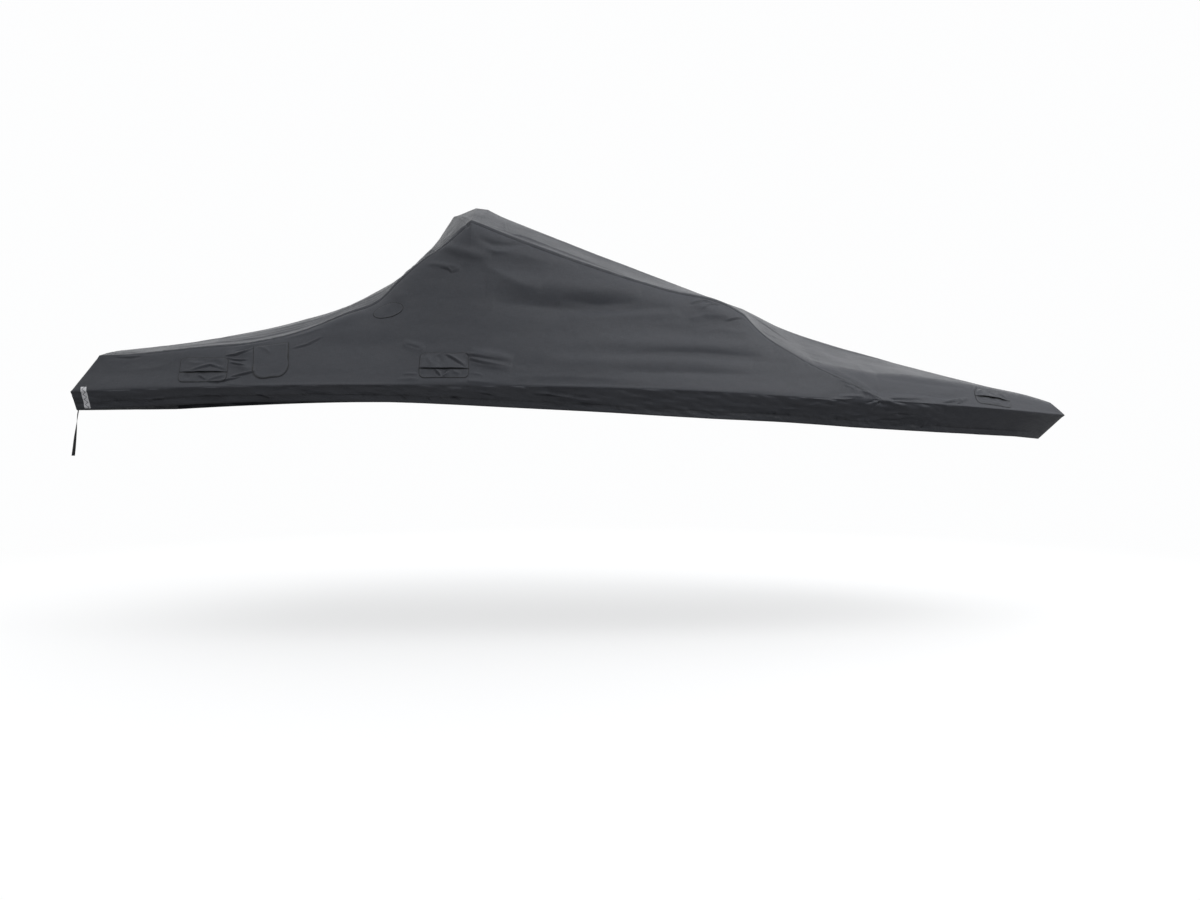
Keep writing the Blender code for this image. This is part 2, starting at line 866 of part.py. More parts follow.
def sew_on(name, skin, side, anchor, rows, lift, thickness, material):
    """Thin piece laid over a panel. "anchor" is its x, top and lean; "lift" raises each point."""
    x, top, lean = anchor
    inner = []
    normals = []
    for row in rows:
        for across, down in row:
            seen_x = x + across * math.cos(lean) + down * math.sin(lean)
            seen_height = top + across * math.sin(lean) - down * math.cos(lean)
            point, normal = skin_place(skin, seen_x, seen_height, side)
            inner.append(point + normal * (PATCH_GAP + lift(across, down)))
            normals.append(normal)
    faces = row_faces(len(rows), len(rows[0]))
    clear_skin(inner, normals, faces, skin, side)
    outer = [point + normal * thickness for point, normal in zip(inner, normals)]
    return close_shell(name, outer, inner, faces, material)


def clear_skin(inner, normals, faces, skin, side):
    """Raise the points of a laid piece until the middles of its edges clear the panel too."""
    edges = {(min(pair), max(pair)) for face in faces for pair in zip(face, face[1:] + face[:1])}
    for _ in range(CLEAR_ROUNDS):
        for first, second in sorted(edges):
            for share in CLEAR_SHARES:
                middle = inner[first].lerp(inner[second], share)
                point, normal = skin_place(skin, middle.x, middle.z, side)
                short = PATCH_GAP - (middle - point).dot(normal)
                if short > 0.0:
                    inner[first] += normals[first] * short
                    inner[second] += normals[second] * short


def row_faces(rows, columns):
    """Triangles of a grid of points stored row by row."""
    faces = []
    for row in range(rows - 1):
        for column in range(columns - 1):
            first = row * columns + column
            below = first + columns
            faces.append([first, first + 1, below + 1])
            faces.append([first, below + 1, below])
    return faces


def sew_vent(row, label, side, skin, cloth):
    """Hood and flap of one vent. The hood stands open along its lower edge."""
    name, _, x, top, width, height, lean, slit, mouth = row
    split = height * slit

    def half(down):
        return rounded_half(down, width, height, VENT_CORNER, VENT_CORNER)

    def hood_lift(across, down):
        side_share = clamp(abs(across) / half(down))
        return mouth * (1.0 - side_share ** HOOD_FULLNESS) * (down / split) ** HOOD_FLARE

    def flap_lift(across, down):
        side_share = clamp(abs(across) / half(down))
        rest = clamp((height - down) / (height - split))
        crease = 0.5 - 0.5 * math.cos(math.tau * FLAP_RIDGES * side_share)
        return FLAP_LIFT * (1.0 - side_share ** 2) * rest * (0.5 + crease)

    anchor = (x, top, lean)
    hood_rows = flat_rows(shares(4, 0.0, split), half, 8)
    flap_rows = flat_rows(shares(3, split + VENT_SPLIT, height), half, 8)
    suffix = name + "_" + label
    sew_on("vent_hood_" + suffix, skin, side, anchor, hood_rows, hood_lift, CLOTH, cloth)
    sew_on("vent_flap_" + suffix, skin, side, anchor, flap_rows, flap_lift, CLOTH, cloth)


def no_lift(across, down):
    return 0.0


def sew_access_flap(label, side, skin, cloth):
    def half(down):
        return rounded_half(down, FLAP_WIDTH, FLAP_HEIGHT, FLAP_TOP_RADIUS, FLAP_RADIUS)

    straight = FLAP_HEIGHT - FLAP_RADIUS
    downs = shares(4, 0.0, straight)
    downs += [straight + FLAP_RADIUS * math.sin(math.radians(turn)) for turn in (30.0, 60.0, 90.0)]
    rows = flat_rows(downs, half, 6)
    anchor = (FLAP_X, FLAP_TOP, FLAP_LEAN)
    sew_on("access_flap_" + label, skin, side, anchor, rows, no_lift, CLOTH, cloth)


def sew_oval_patch(label, side, skin, cloth):
    def half(down):
        return oval_half(down, OVAL_WIDTH, OVAL_HEIGHT)

    downs = [OVAL_HEIGHT * (0.5 - 0.5 * math.cos(math.pi * share)) for share in shares(6)]
    rows = flat_rows(downs, half, 6)
    anchor = (OVAL_X, OVAL_TOP, OVAL_LEAN)
    sew_on("oval_patch_" + label, skin, side, anchor, rows, no_lift, CLOTH, cloth)


def sew_corner_tape(label, side, skins, material):
    """Tape over the rub rail: down the side panel, round the crease and down the skirt."""
    panel = skins["side_panel_" + label]
    skirt = skins["skirt_" + label]
    rail_height = curve_value(RAIL, 2, TAPE_X)
    low = curve_value(HEM, 2, TAPE_X) + TAPE_END
    heights = shares(2, TAPE_TOP, rail_height + TAPE_TURN)
    heights.append(None)
    heights += shares(5, rail_height - TAPE_TURN, low)
    outer = []
    inner = []
    for height in heights:
        for across in (-0.5, 0.0, 0.5):
            level = rail_height if height is None else height
            x = TAPE_X + across * TAPE_WIDTH + (TAPE_TOP - level) * TAPE_LEAN
            if height is None:
                crease = line_point(RAIL, x)
                above = skin_place(panel, x, rail_height + TAPE_TURN, side)[1]
                below = skin_place(skirt, x, rail_height - TAPE_TURN, side)[1]
                point = Vector((crease.x, crease.y * side, crease.z))
                through = mitre([above, below])
            else:
                skin = panel if height > rail_height else skirt
                point, through = skin_place(skin, x, height, side)
            inner.append(point + through * PATCH_GAP)
            outer.append(point + through * (PATCH_GAP + TAPE_THICKNESS))
    name = "corner_tape_" + label
    close_shell(name, outer, inner, row_faces(len(heights), 3), material)


def hang_tie(skirt, material):
    """Webbing tie: its sewn end lies inside the stern hem, and the rest twists as it hangs."""
    behind = CLOTH * 2.0 + PATCH_GAP + TIE_THICKNESS / 2.0
    middles = []
    for height in TIE_SEWN:
        start = Vector((-CAST_REACH, TIE_Y, height))
        point, normal, _, _ = skirt.ray_cast(start, Vector((1.0, 0.0, 0.0)))
        middles.append((point - normal * behind, math.atan2(normal.y, -normal.x)))
    for x, y, height, turn in TIE_PATH:
        middles.append((Vector((x, y, height)), math.radians(turn)))
    outer = []
    inner = []
    for middle, turn in middles:
        across = Vector((math.sin(turn), math.cos(turn), 0.0)) * (TIE_WIDTH / 2.0)
        through = Vector((math.cos(turn), -math.sin(turn), 0.0)) * (TIE_THICKNESS / 2.0)
        for share in (-1.0, 1.0):
            outer.append(middle + across * share + through)
            inner.append(middle + across * share - through)
    close_shell("stern_tie", outer, inner, row_faces(len(middles), 2), material)


def make_material(name, colour, roughness, metallic=0.0):
    material = bpy.data.materials.new(name)
    material.use_nodes = True
    shader = material.node_tree.nodes["Principled BSDF"]
    shader.inputs["Base Color"].default_value = (*colour, 1.0)
    shader.inputs["Roughness"].default_value = roughness
    shader.inputs["Metallic"].default_value = metallic
    material.diffuse_color = (*colour, 1.0)
    return material


def clear_scene():
    for item in list(bpy.data.objects):
        bpy.data.objects.remove(item, do_unlink=True)


def main():
    clear_scene()
    datum = bpy.data.objects.new("hem_datum", None)
    datum.location = (0.0, 0.0, -SEAT_HEIGHT)
    bpy.context.scene.collection.objects.link(datum)
    cloth = make_material("charcoal_cloth", (0.058, 0.060, 0.066), 0.62)
    tape = make_material("light_tape", (0.48, 0.48, 0.52), 0.50)
    webbing = make_material("black_webbing", (0.016, 0.018, 0.018), 0.75)
    panels = [
        roof_panel("roof_aft", "stern", "tower_rear"),
        roof_panel("roof_fore", "tower_rear", "bow"),
    ]
    for label, side in SIDES:
        panels.append(side_panel("side_panel_" + label, side))
        panels.append(skirt_panel("skirt_" + label, side))
    panels += stern_panels()
    met = seam_normals(panels)
    skins = {panel.name: build_panel(panel, met, cloth) for panel in panels}
    for label, side in SIDES:
        side_skin = skins["side_panel_" + label]
        for row in VENTS:
            sew_vent(row, label, side, skins[row[1].format(label)], cloth)
        sew_access_flap(label, side, side_skin, cloth)
        sew_oval_patch(label, side, side_skin, cloth)
        sew_corner_tape(label, side, skins, tape)
    hang_tie(skins["stern_skirt"], webbing)


main()
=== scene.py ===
"""The dressed boat cover: cloth panels, vents, flaps, tapes and tie in fine mesh, and the studio.

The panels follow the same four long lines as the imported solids. Heights in this script are above
the lowest point of the hem, and SEAT_HEIGHT brings them to the part's origin.
"""
import math

import bmesh
import bpy
import numpy as np
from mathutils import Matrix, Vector
from mathutils.bvhtree import BVHTree


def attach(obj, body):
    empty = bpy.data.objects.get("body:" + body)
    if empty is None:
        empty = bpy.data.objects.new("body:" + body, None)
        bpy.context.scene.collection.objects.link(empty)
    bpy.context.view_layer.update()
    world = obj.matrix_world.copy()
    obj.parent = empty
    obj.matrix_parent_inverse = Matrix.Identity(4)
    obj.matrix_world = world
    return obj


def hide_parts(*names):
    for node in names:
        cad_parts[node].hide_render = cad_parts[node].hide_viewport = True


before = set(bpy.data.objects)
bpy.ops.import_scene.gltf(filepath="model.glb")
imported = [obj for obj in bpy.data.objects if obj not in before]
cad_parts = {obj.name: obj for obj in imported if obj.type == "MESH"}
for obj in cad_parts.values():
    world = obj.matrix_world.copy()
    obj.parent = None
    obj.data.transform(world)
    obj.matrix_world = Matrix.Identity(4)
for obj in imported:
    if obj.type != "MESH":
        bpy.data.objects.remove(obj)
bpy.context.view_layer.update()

SEAT_HEIGHT = 1.727
STARBOARD = -1.0
PORT = 1.0
SIDES = (("stbd", STARBOARD), ("port", PORT))

# Longest step between the rows of points along the boat.
SPACING = 0.0125

# How far aft the middle of the stern bulges, and how far in a panel's middle sags for each metre of
# its height.
TRANSOM_BULGE = 0.05
SIDE_SAG = 0.008

# Numbers of the method: samples across a rounded break, sides of a cord, how many widths a crease
# reaches, a distance beyond all others, and one too small to matter.
SLOPE_SAMPLES = 10
TUBE_SIDES = 10
CREASE_REACH = 4.0
FAR = 1e9
TINY = 1e-12
MILLIMETRES = 1000.0

# The four long lines of the cover. A row is one point of the line: its x, half breadth and
# height, and whether it is a knuckle, where the line turns sharply over the frame below.
CROWN = [
    (-2.565, 0.0, 0.680, True),
    (-2.025, 0.0, 0.769, False),
    (-1.345, 0.0, 0.912, False),
    (-1.005, 0.0, 1.026, False),
    (-0.665, 0.0, 1.213, False),
    (-0.440, 0.0, 1.400, False),
    (-0.325, 0.0, 1.523, False),
    (-0.230, 0.0, 1.672, True),
    (-0.050, 0.0, 1.737, True),
    (0.040, 0.0, 1.727, True),
    (0.125, 0.0, 1.685, False),
    (0.350, 0.0, 1.596, False),
    (1.025, 0.0, 1.335, False),
    (1.600, 0.0, 1.118, False),
    (1.945, 0.0, 0.996, True),
    (2.155, 0.0, 0.888, False),
    (2.495, 0.0, 0.757, False),
    (2.945, 0.0, 0.626, False),
    (3.515, 0.0, 0.475, False),
    (3.740, 0.0, 0.420, False),
    (4.080, 0.0, 0.347, False),
    (4.255, 0.0, 0.295, True),
    (4.380, 0.0, 0.193, True),
]
SHOULDER = [
    (-2.505, 1.060, 0.604, True),
    (-2.300, 1.065, 0.608, False),
    (-1.870, 1.074, 0.650, False),
    (-1.445, 1.057, 0.692, False),
    (-1.155, 1.026, 0.764, False),
    (-0.870, 0.977, 0.880, False),
    (-0.610, 0.919, 0.998, False),
    (-0.510, 0.902, 1.103, False),
    (-0.320, 0.874, 1.274, False),
    (-0.225, 0.862, 1.340, False),
    (-0.010, 0.850, 1.526, True),
    (0.230, 0.853, 1.428, False),
    (0.720, 0.858, 1.247, False),
    (1.330, 0.879, 1.053, False),
    (1.770, 0.897, 0.935, False),
    (1.860, 0.905, 0.882, True),
    (1.975, 0.936, 0.758, False),
    (2.180, 0.989, 0.617, False),
    (2.585, 1.058, 0.405, False),
    (2.795, 1.043, 0.301, True),
]
RAIL = [
    (-2.665, 1.160, 0.359, True),
    (-2.000, 1.220, 0.383, False),
    (-1.100, 1.260, 0.402, False),
    (-0.200, 1.280, 0.402, False),
    (0.900, 1.280, 0.385, False),
    (1.540, 1.255, 0.363, False),
    (2.400, 1.145, 0.315, False),
    (2.795, 1.043, 0.301, False),
    (3.290, 0.880, 0.271, False),
    (3.750, 0.655, 0.238, False),
    (4.030, 0.445, 0.217, False),
    (4.220, 0.250, 0.203, False),
    (4.330, 0.110, 0.196, False),
    (4.380, 0.000, 0.193, True),
]
HEM = [
    (-2.650, 1.100, 0.237, True),
    (-2.000, 1.160, 0.270, False),
    (-1.120, 1.200, 0.295, False),
    (-0.450, 1.213, 0.287, False),
    (0.200, 1.220, 0.257, False),
    (0.875, 1.220, 0.224, False),
    (1.540, 1.193, 0.185, False),
    (2.100, 1.115, 0.156, False),
    (2.600, 1.005, 0.120, False),
    (3.170, 0.805, 0.084, False),
    (3.670, 0.540, 0.056, False),
    (4.000, 0.270, 0.034, False),
    (4.120, 0.110, 0.022, False),
    (4.185, 0.000, 0.015, True),
]

# Stations run from the stern to the bow. A row is the station's name, its x on the crown, the
# shoulder, the rail and the hem, and the number of grid rows from the station before it.
STATIONS = [
    ("stern", -2.565, -2.505, -2.665, -2.650, 0),
    ("quarter", -1.900, -1.900, -1.950, -1.950, 6),
    ("hollow", -0.800, -0.800, -0.800, -0.800, 9),
    ("tower_rear", -0.230, -0.035, -0.035, -0.035, 7),
    ("tower_peak", -0.050, -0.010, -0.010, -0.010, 1),
    ("tower_front", 0.040, 0.040, 0.040, 0.040, 1),
    ("windshield", 1.945, 1.860, 1.860, 1.860, 15),
    ("seam_end", 2.750, 2.795, 2.795, 2.745, 8),
    ("bow", 4.380, 4.380, 4.380, 4.185, 14),
]
CROWN_X = 1
SHOULDER_X = 2
RAIL_X = 3
HEM_X = 4
STEPS = 5

# How the roof falls from its crown to its edge. A row is x, then the breadth and the drop of the
# break in each slope as shares of the way to the edge, then the softness that rounds the break.
ROOF_BREAKS = [
    (-2.60, 0.70, 0.48, 0.25),
    (-1.20, 0.55, 0.42, 0.30),
    (-0.20, 0.50, 0.42, 0.20),
    (1.00, 0.55, 0.42, 0.30),
    (1.90, 0.62, 0.48, 0.25),
    (2.35, 0.93, 0.90, 0.06),
    (2.66, 0.88, 0.62, 0.08),
    (2.96, 0.83, 0.47, 0.09),
    (3.26, 0.79, 0.38, 0.10),
    (3.51, 0.75, 0.30, 0.12),
    (3.90, 0.65, 0.22, 0.15),
    (4.38, 0.60, 0.35, 0.20),
]

# The ridge of the crown is rounded by this softness at least, out to this share of the breadth.
RIDGE_ROUNDING = 0.12
RIDGE_REACH = 0.4

# Main folds of the cloth, as seen from the side and the same to port and to starboard. A row is
# the kind of panel, the x and height of both ends of a soft ridge, the width to the side of its
# crest, and its rise above the panel. A fold dies out at both its ends and at the seams.
FOLDS = [
    ("side", -0.260, 1.370, 0.130, 1.265, 0.035, 0.014),
    ("side", 0.100, 1.090, 1.150, 1.020, 0.080, 0.020),
    ("side", 0.700, 0.700, 2.050, 0.640, 0.060, 0.012),
    ("side", 0.450, 0.565, 1.900, 0.545, 0.045, 0.010),
    ("side", 1.500, 0.955, 1.850, 0.835, 0.035, 0.010),
    ("side", 0.010, 0.622, 0.300, 0.575, 0.026, 0.013),
    ("side", 0.015, 0.570, 0.290, 0.515, 0.026, 0.012),
    ("side", -0.450, 0.685, -0.290, 0.640, 0.026, 0.009),
    ("side", -1.640, 0.605, -1.450, 0.625, 0.024, 0.010),
    ("side", -1.610, 0.560, -1.420, 0.490, 0.024, 0.010),
    ("side", -1.000, 0.795, -0.720, 0.895, 0.035, 0.008),
    ("fore", 2.800, 0.335, 3.350, 0.345, 0.026, 0.012),
    ("fore", 3.180, 0.285, 3.450, 0.310, 0.020, 0.010),
    ("fore", 2.450, 0.495, 2.760, 0.345, 0.024, 0.010),
    ("skirt", 2.200, 0.255, 2.750, 0.285, 0.024, 0.009),
    ("skirt", 2.820, 0.285, 3.250, 0.220, 0.024, 0.009),
    ("skirt", -1.500, 0.335, -1.080, 0.355, 0.024, 0.008),
]

# How folds and creases die out: a smaller power keeps more of their rise towards their ends.
FOLD_TAPER = 0.6

# Vents sewn over the panels. A row is the vent's name, its panel, the x and height of the middle
# of its upper edge as seen from the side, its width, its height, its lean about that middle, the
# share of the height that the hood covers, and how far the hood's free lower edge stands off the
# panel. A flap covers the rest of the height.
VENTS = [
    ("aft", "side_panel_{}", -1.775, 0.590, 0.330, 0.168, 0.00, 0.60, 0.014),
    ("mid", "side_panel_{}", -0.160, 0.618, 0.330, 0.170, 0.00, 0.62, 0.014),
    ("bow", "roof_fore", 3.668, 0.370, 0.300, 0.106, -0.13, 0.52, 0.020),
]
VENT_CORNER = 0.035

# How far the flap's upper edge runs up behind the hood.
VENT_TUCK = 0.004

# The hood bellies out most in its middle and towards its free edge: a larger HOOD_FULLNESS keeps
# more of its breadth off the panel, and a larger HOOD_FLARE opens it later.
HOOD_FULLNESS = 2.5
HOOD_FLARE = 1.3

# The flap below it lifts a little in soft ridges.
FLAP_LIFT = 0.004
FLAP_RIDGES = 1.5

# Access flap: straight top edge, lower corners on a wide radius, with a cord sewn round its rim.
FLAP_X = -1.341
FLAP_TOP = 0.678
FLAP_WIDTH = 0.240
FLAP_HEIGHT = 0.228
FLAP_LEAN = 0.120
FLAP_TOP_RADIUS = 0.006
FLAP_RADIUS = 0.075
PIPING_RADIUS = 0.0024

# Oval patch where the cloth turns up to the tower.
OVAL_X = -0.572
OVAL_TOP = 0.958
OVAL_WIDTH = 0.215
OVAL_HEIGHT = 0.100
OVAL_LEAN = 0.270
OVAL_BLUNT = 0.12

# Light tape sewn down over the rub rail at each stern corner, to TAPE_END above the hem.
TAPE_X = -2.577
TAPE_TOP = 0.392
TAPE_WIDTH = 0.042
TAPE_LEAN = 0.070
TAPE_END = 0.006

# Loose tie at the starboard stern corner: sewn TIE_BEHIND inside the stern hem over the heights in
# TIE_SEWN, and hanging free below it. A row of its path is x, y and height, and how far the webbing
# has twisted there, in degrees. The path is read at TIE_ROWS places and smoothed TIE_SMOOTHINGS times.
TIE_WIDTH = 0.026
TIE_THICKNESS = 0.0018
TIE_Y = -1.076
TIE_BEHIND = 0.0090
TIE_SMOOTHINGS = 14
TIE_ROWS = 70
TIE_SEWN = (0.268, 0.240)
TIE_PATH = [
    (-2.650, -1.078, 0.200, -8.0),
    (-2.654, -1.081, 0.150, -24.0),
    (-2.659, -1.084, 0.100, -44.0),
    (-2.666, -1.086, 0.040, -60.0),
    (-2.672, -1.087, -0.020, -70.0),
    (-2.679, -1.088, -0.072, -76.0),
]

# Finer creases, placed one by one. A row is where the crease is, the sides of the boat that have it
# (s, p or b for both) and its shape, then in millimetres its width, its rise, and its path in
# pairs. "top" paths give x and the distance from the middle of the boat, and all others x and height
# as seen from the side. A crease "over" a seam runs on across it. One marked "out" is strong at its
# start, and the others die out at both ends.
CREASES = [
    # Tower leg, and the long swells of the side panel ahead of it.
    ("side s ridge", 15, 7, -300, 1232, -160, 1216, -70, 1200),
    ("side s ridge", 45, 6, 60, 1330, 300, 1300, 560, 1230),
    ("side b ridge", 35, 5, -520, 980, -480, 1005, -430, 1022),
    ("side s groove", 52, 15, 150, 965, 500, 935, 950, 900, 1350, 930),
    ("side b groove", 40, 4, 800, 610, 1300, 600, 1950, 585),
    ("side b ridge", 30, 4, 300, 462, 700, 455, 1200, 430),
    # Drag fold from the middle vent.
    ("side s ridge", 10, 3.5, -470, 440, -380, 446, -310, 440),
    # Stern, aft vent and access flap.
    ("side s ridge", 8, 4.5, -1425, 660, -1370, 640, -1330, 610),
    ("side b tuck", 12, 6, -2400, 596, -2290, 590, -2200, 604),
    ("side s ridge", 30, 4, -2300, 500, -2100, 520, -1980, 560),
    ("side s tuck", 10, 5, -1190, 640, -1090, 668, -990, 720),
    # The port side's own.
    ("side p tuck", 11, 6, -1150, 560, -1000, 600, -860, 680),
    ("side p ridge", 40, 7, 200, 1260, 600, 1180, 1000, 1060),
    ("side p groove", 45, 7, 300, 900, 700, 850, 1200, 840),
    ("side p tuck", 11, 8, -320, 1130, -220, 1120, -100, 1080),
    # Windshield knuckle.
    ("side b ridge", 24, 5, 1480, 850, 1600, 872, 1700, 860),
    ("side s ridge", 30, 4.5, 1500, 760, 1700, 775, 1900, 745),
    ("side s groove", 34, 4.5, 1450, 575, 1800, 570, 2200, 545),
    # Shoulder seam's fore end, the bow vent's corner and the hollows of the fore deck.
    ("over b ridge", 8, 3.5, 2010, 775, 2060, 752, 2120, 738),
    ("fore b tuck", 8, 5.5, 3515, 352, 3535, 378, 3565, 404),
    ("fore b groove", 17, 15, 2676, 369, 2856, 361, 3075, 342, 3265, 328, 3434, 320),
    ("fore b groove", 14, 7.5, 2751, 462, 2957, 444, 3104, 425, 3299, 406, 3461, 390),
    # Skirt.
    ("skirt s tuck", 8, 8, -2200, 286, -2080, 312, -1970, 322),
    ("skirt s ridge", 10, 5.8, -980, 345, -800, 340, -640, 334),
    ("skirt b tuck", 7, 7.2, 1550, 238, 1610, 214, 1660, 192),
    ("skirt b tuck", 8, 8.7, 2860, 166, 3000, 186, 3110, 170),
    ("skirt b tuck", 7, 7.2, 2780, 200, 2900, 212, 3040, 204),
    ("skirt s tuck", 7, 6.5, 3050, 148, 3130, 176, 3180, 196),
    ("skirt p tuck", 9, 8, 400, 330, 620, 310, 860, 296),
    ("skirt s ridge", 9, 5.1, 400, 320, 640, 312, 900, 300),
    # Roof: lines of pull that run from the tower's corners, and long swells.
    ("top b tuck", 14, 7, -50, 800, -180, 700, -360, 700, -560, 790),
    ("top b tuck", 15, 7, -90, 700, -230, 560, -430, 560, -700, 700),
    ("top b ridge", 30, 6, -170, 400, -330, 380, -600, 460),
    ("top b tuck", 12, 6, -480, 870, -600, 850, -760, 905),
    ("top b ridge", 15, 6, -20, 780, -70, 560, -140, 300),
    ("top b ridge", 26, 7.5, 70, 790, 220, 730, 420, 710, 700, 720, 1100, 770),
    ("top b tuck", 11, 6, 190, 400, 205, 540, 230, 690),
    ("top b ridge", 30, 6, 1250, 760, 1500, 800, 1780, 840),
    ("top b ridge", 70, 9, 300, 250, 900, 300, 1600, 280),
    ("top b ridge", 50, 7, -2300, 500, -1700, 560, -1100, 500),
    ("top s ridge", 60, 8, -2200, 180, -1600, 120, -1000, 200),
    ("top p ridge", 60, 8, -2100, 260, -1500, 300, -900, 240),
    ("top b tuck", 14, 6, 1960, 300, 2100, 420, 2260, 560),
    ("top s ridge", 30, 6, 2200, 100, 2600, 150, 3100, 120),
    ("top p ridge", 35, 6, 2300, 200, 2700, 220, 3200, 160),
    # Short folds just below the aft part of the shoulder seam.
    ("side b tuck", 9, 6, -1900, 655, -1760, 672, -1600, 690, -1480, 708),
    ("side b ridge", 10, 5.5, -1600, 655, -1480, 675, -1340, 700),
    ("side b ridge", 12, 6, -1260, 715, -1120, 745, -980, 790),
    ("side b tuck", 10, 5, -2160, 632, -2060, 640, -1960, 646),
    # Lines of pull that run down the aft roof from the tower.
    ("top b ridge", 20, 9, -2100, 960, -1600, 900, -1100, 830, -600, 770, -300, 740),
    ("top b groove", 22, 7, -1900, 890, -1400, 820, -900, 760, -500, 720),
    ("top b ridge", 26, 9, -1850, 780, -1300, 700, -800, 650, -350, 620),
    ("top b ridge", 30, 8, -1500, 560, -1000, 520, -500, 480, -250, 420),
    ("top s ridge", 18, 7, -1250, 930, -900, 870, -550, 810, -350, 790),
    ("top s tuck", 10, 6, -2480, 1000, -2350, 960, -2200, 985),
    # Roof close to the tower.
    ("top b ridge", 10, 7, -215, 780, -130, 810, -50, 835),
    ("top b ridge", 10, 6, 180, 300, 190, 450, 200, 640, 215, 800),
    ("top b tuck", 12, 8, 230, 760, 340, 700, 520, 690),
    # Round the middle vent.
    ("side b groove", 8, 6, -425, 674, -375, 660, -324, 645),
    ("side b tuck out", 8, 10, -22, 608, 62, 595, 170, 573, 267, 559),
    ("side b tuck out", 9, 10, 4, 576, 93, 551, 230, 528, 298, 510),
    ("side b ridge out", 10, 7, -5, 431, 78, 424, 175, 413, 234, 406),
    ("side b ridge", 7, 5, -431, 475, -384, 478, -333, 475),
    ("side b ridge", 6, 4, 8, 482, 57, 479, 108, 465),
    # Skirt below the middle vent and the side panel ahead of it.
    ("skirt b ridge", 9, 10.1, -460, 377, -421, 369, -375, 357),
    ("skirt b ridge", 12, 8.7, -196, 365, -116, 370, -36, 376),
    ("skirt b tuck", 10, 13, 38, 358, 108, 349, 183, 334),
    ("skirt b tuck", 10, 13, 416, 344, 532, 339, 624, 323, 716, 305),
    ("skirt b tuck", 7, 10.1, -456, 340, -431, 320, -403, 301),
    ("skirt b tuck", 6, 8.7, -278, 326, -259, 310, -247, 297),
    ("skirt b tuck", 6, 8.7, -131, 330, -92, 319, -60, 306),
    ("skirt b groove", 6, 7.2, 172, 311, 226, 308, 289, 312),
    ("skirt b ridge", 8, 8.7, 396, 300, 438, 290, 484, 279),
    ("skirt b tuck", 6, 8.7, 978, 271, 994, 250, 1008, 230),
    # Between the aft vent and the access flap.
    ("side b tuck", 8, 7.5, -1637, 593, -1571, 597, -1503, 622, -1452, 651),
    ("side b groove", 8, 6, -1586, 618, -1519, 636, -1458, 658),
    ("side b tuck", 7, 6, -1622, 581, -1579, 566, -1536, 563, -1485, 566),
    ("side b tuck", 7, 6, -1599, 548, -1549, 535, -1489, 528),
    ("side b tuck", 8, 7.5, -1595, 449, -1516, 470, -1421, 489),
    ("side b tuck", 7, 7, -1730, 421, -1655, 425, -1593, 440, -1513, 454),
    ("side b ridge", 10, 5, -1623, 414, -1540, 405, -1489, 404),
    # Skirt below them.
    ("skirt b tuck", 8, 11.6, -1770, 327, -1725, 336, -1670, 328, -1623, 305),
    ("skirt b tuck", 10, 14.5, -1418, 345, -1361, 333, -1308, 307),
    ("skirt b tuck", 8, 10.1, -1116, 350, -1089, 339, -1062, 326),
    # Shoulder seam's fore end, down to the rub rail.
    ("over b ridge", 5, 2.5, 2327, 569, 2362, 560, 2394, 548),
    ("over b ridge", 8, 5.5, 2484, 446, 2537, 423, 2591, 401),
    ("over b ridge", 6, 2.8, 2515, 412, 2556, 394, 2597, 382),
    ("over b ridge", 9, 6.5, 2632, 371, 2687, 351, 2742, 321),
    ("over b ridge", 6, 3, 2661, 382, 2725, 361, 2783, 341),
    ("side b ridge", 8, 9, 2472, 324, 2571, 327, 2656, 325),
    ("over b ridge", 12, 13, 2221, 248, 2321, 282, 2486, 304, 2599, 317),
    ("over b tuck out", 9, 8.5, 2755, 300, 2657, 277, 2520, 236),
    ("over b tuck out", 9, 9, 2778, 290, 2718, 250, 2651, 202),
    # Fore deck, beside the rub rail.
    ("fore b ridge out", 10, 14, 2836, 314, 2975, 313, 3112, 316, 3251, 320),
    ("over b ridge out", 9, 13, 2834, 294, 2944, 270, 3064, 243),
    ("fore b tuck", 8, 11, 3242, 282, 3347, 296, 3460, 309),
    ("fore b tuck", 7, 9, 3334, 274, 3394, 291, 3441, 302),
    # Skirt towards the bow.
    ("skirt b ridge", 8, 10.1, 2867, 202, 2957, 186, 3046, 185),
    ("skirt b tuck", 6, 8.7, 3082, 101, 3117, 118, 3145, 133),
    ("skirt b ridge", 8, 8.7, 2539, 189, 2602, 196, 2680, 204),
    ("skirt b tuck", 7, 8.7, 2742, 161, 2813, 172, 2915, 170),
    ("skirt b ridge", 8, 8.7, 2092, 241, 2160, 245, 2242, 239),
    # Tower leg and the cloth ahead of it.
    ("side b tuck", 8, 8, -220, 1203, -164, 1195, -135, 1173, -80, 1186),
    ("side b groove", 22, 12, 33, 1411, 143, 1364, 252, 1359, 361, 1375),
    ("side b ridge", 12, 6, 89, 1334, 171, 1309, 251, 1309),
    ("side s ridge", 50, 10, 56, 1232, 194, 1157, 331, 1083, 474, 1046),
    ("side b ridge", 6, 4, 164, 1399, 187, 1418, 219, 1436),
    # Side panel between the tower and the windshield.
    ("side b ridge", 40, 8, 605, 858, 1011, 874, 1421, 883),
    ("side b groove", 45, 12, 603, 983, 875, 950, 1148, 966),
    ("side b groove", 30, 6, 1143, 625, 1547, 619, 1957, 594),
    ("side b groove", 30, 6, 1008, 489, 1475, 486, 1948, 471),
    # Windshield knuckle.
    ("side b tuck", 12, 8, 1491, 947, 1582, 980, 1671, 966),
    ("side b tuck", 8, 7, 1565, 905, 1629, 952, 1712, 956),
    ("side b tuck", 8, 7, 1727, 829, 1804, 851, 1861, 859),
]

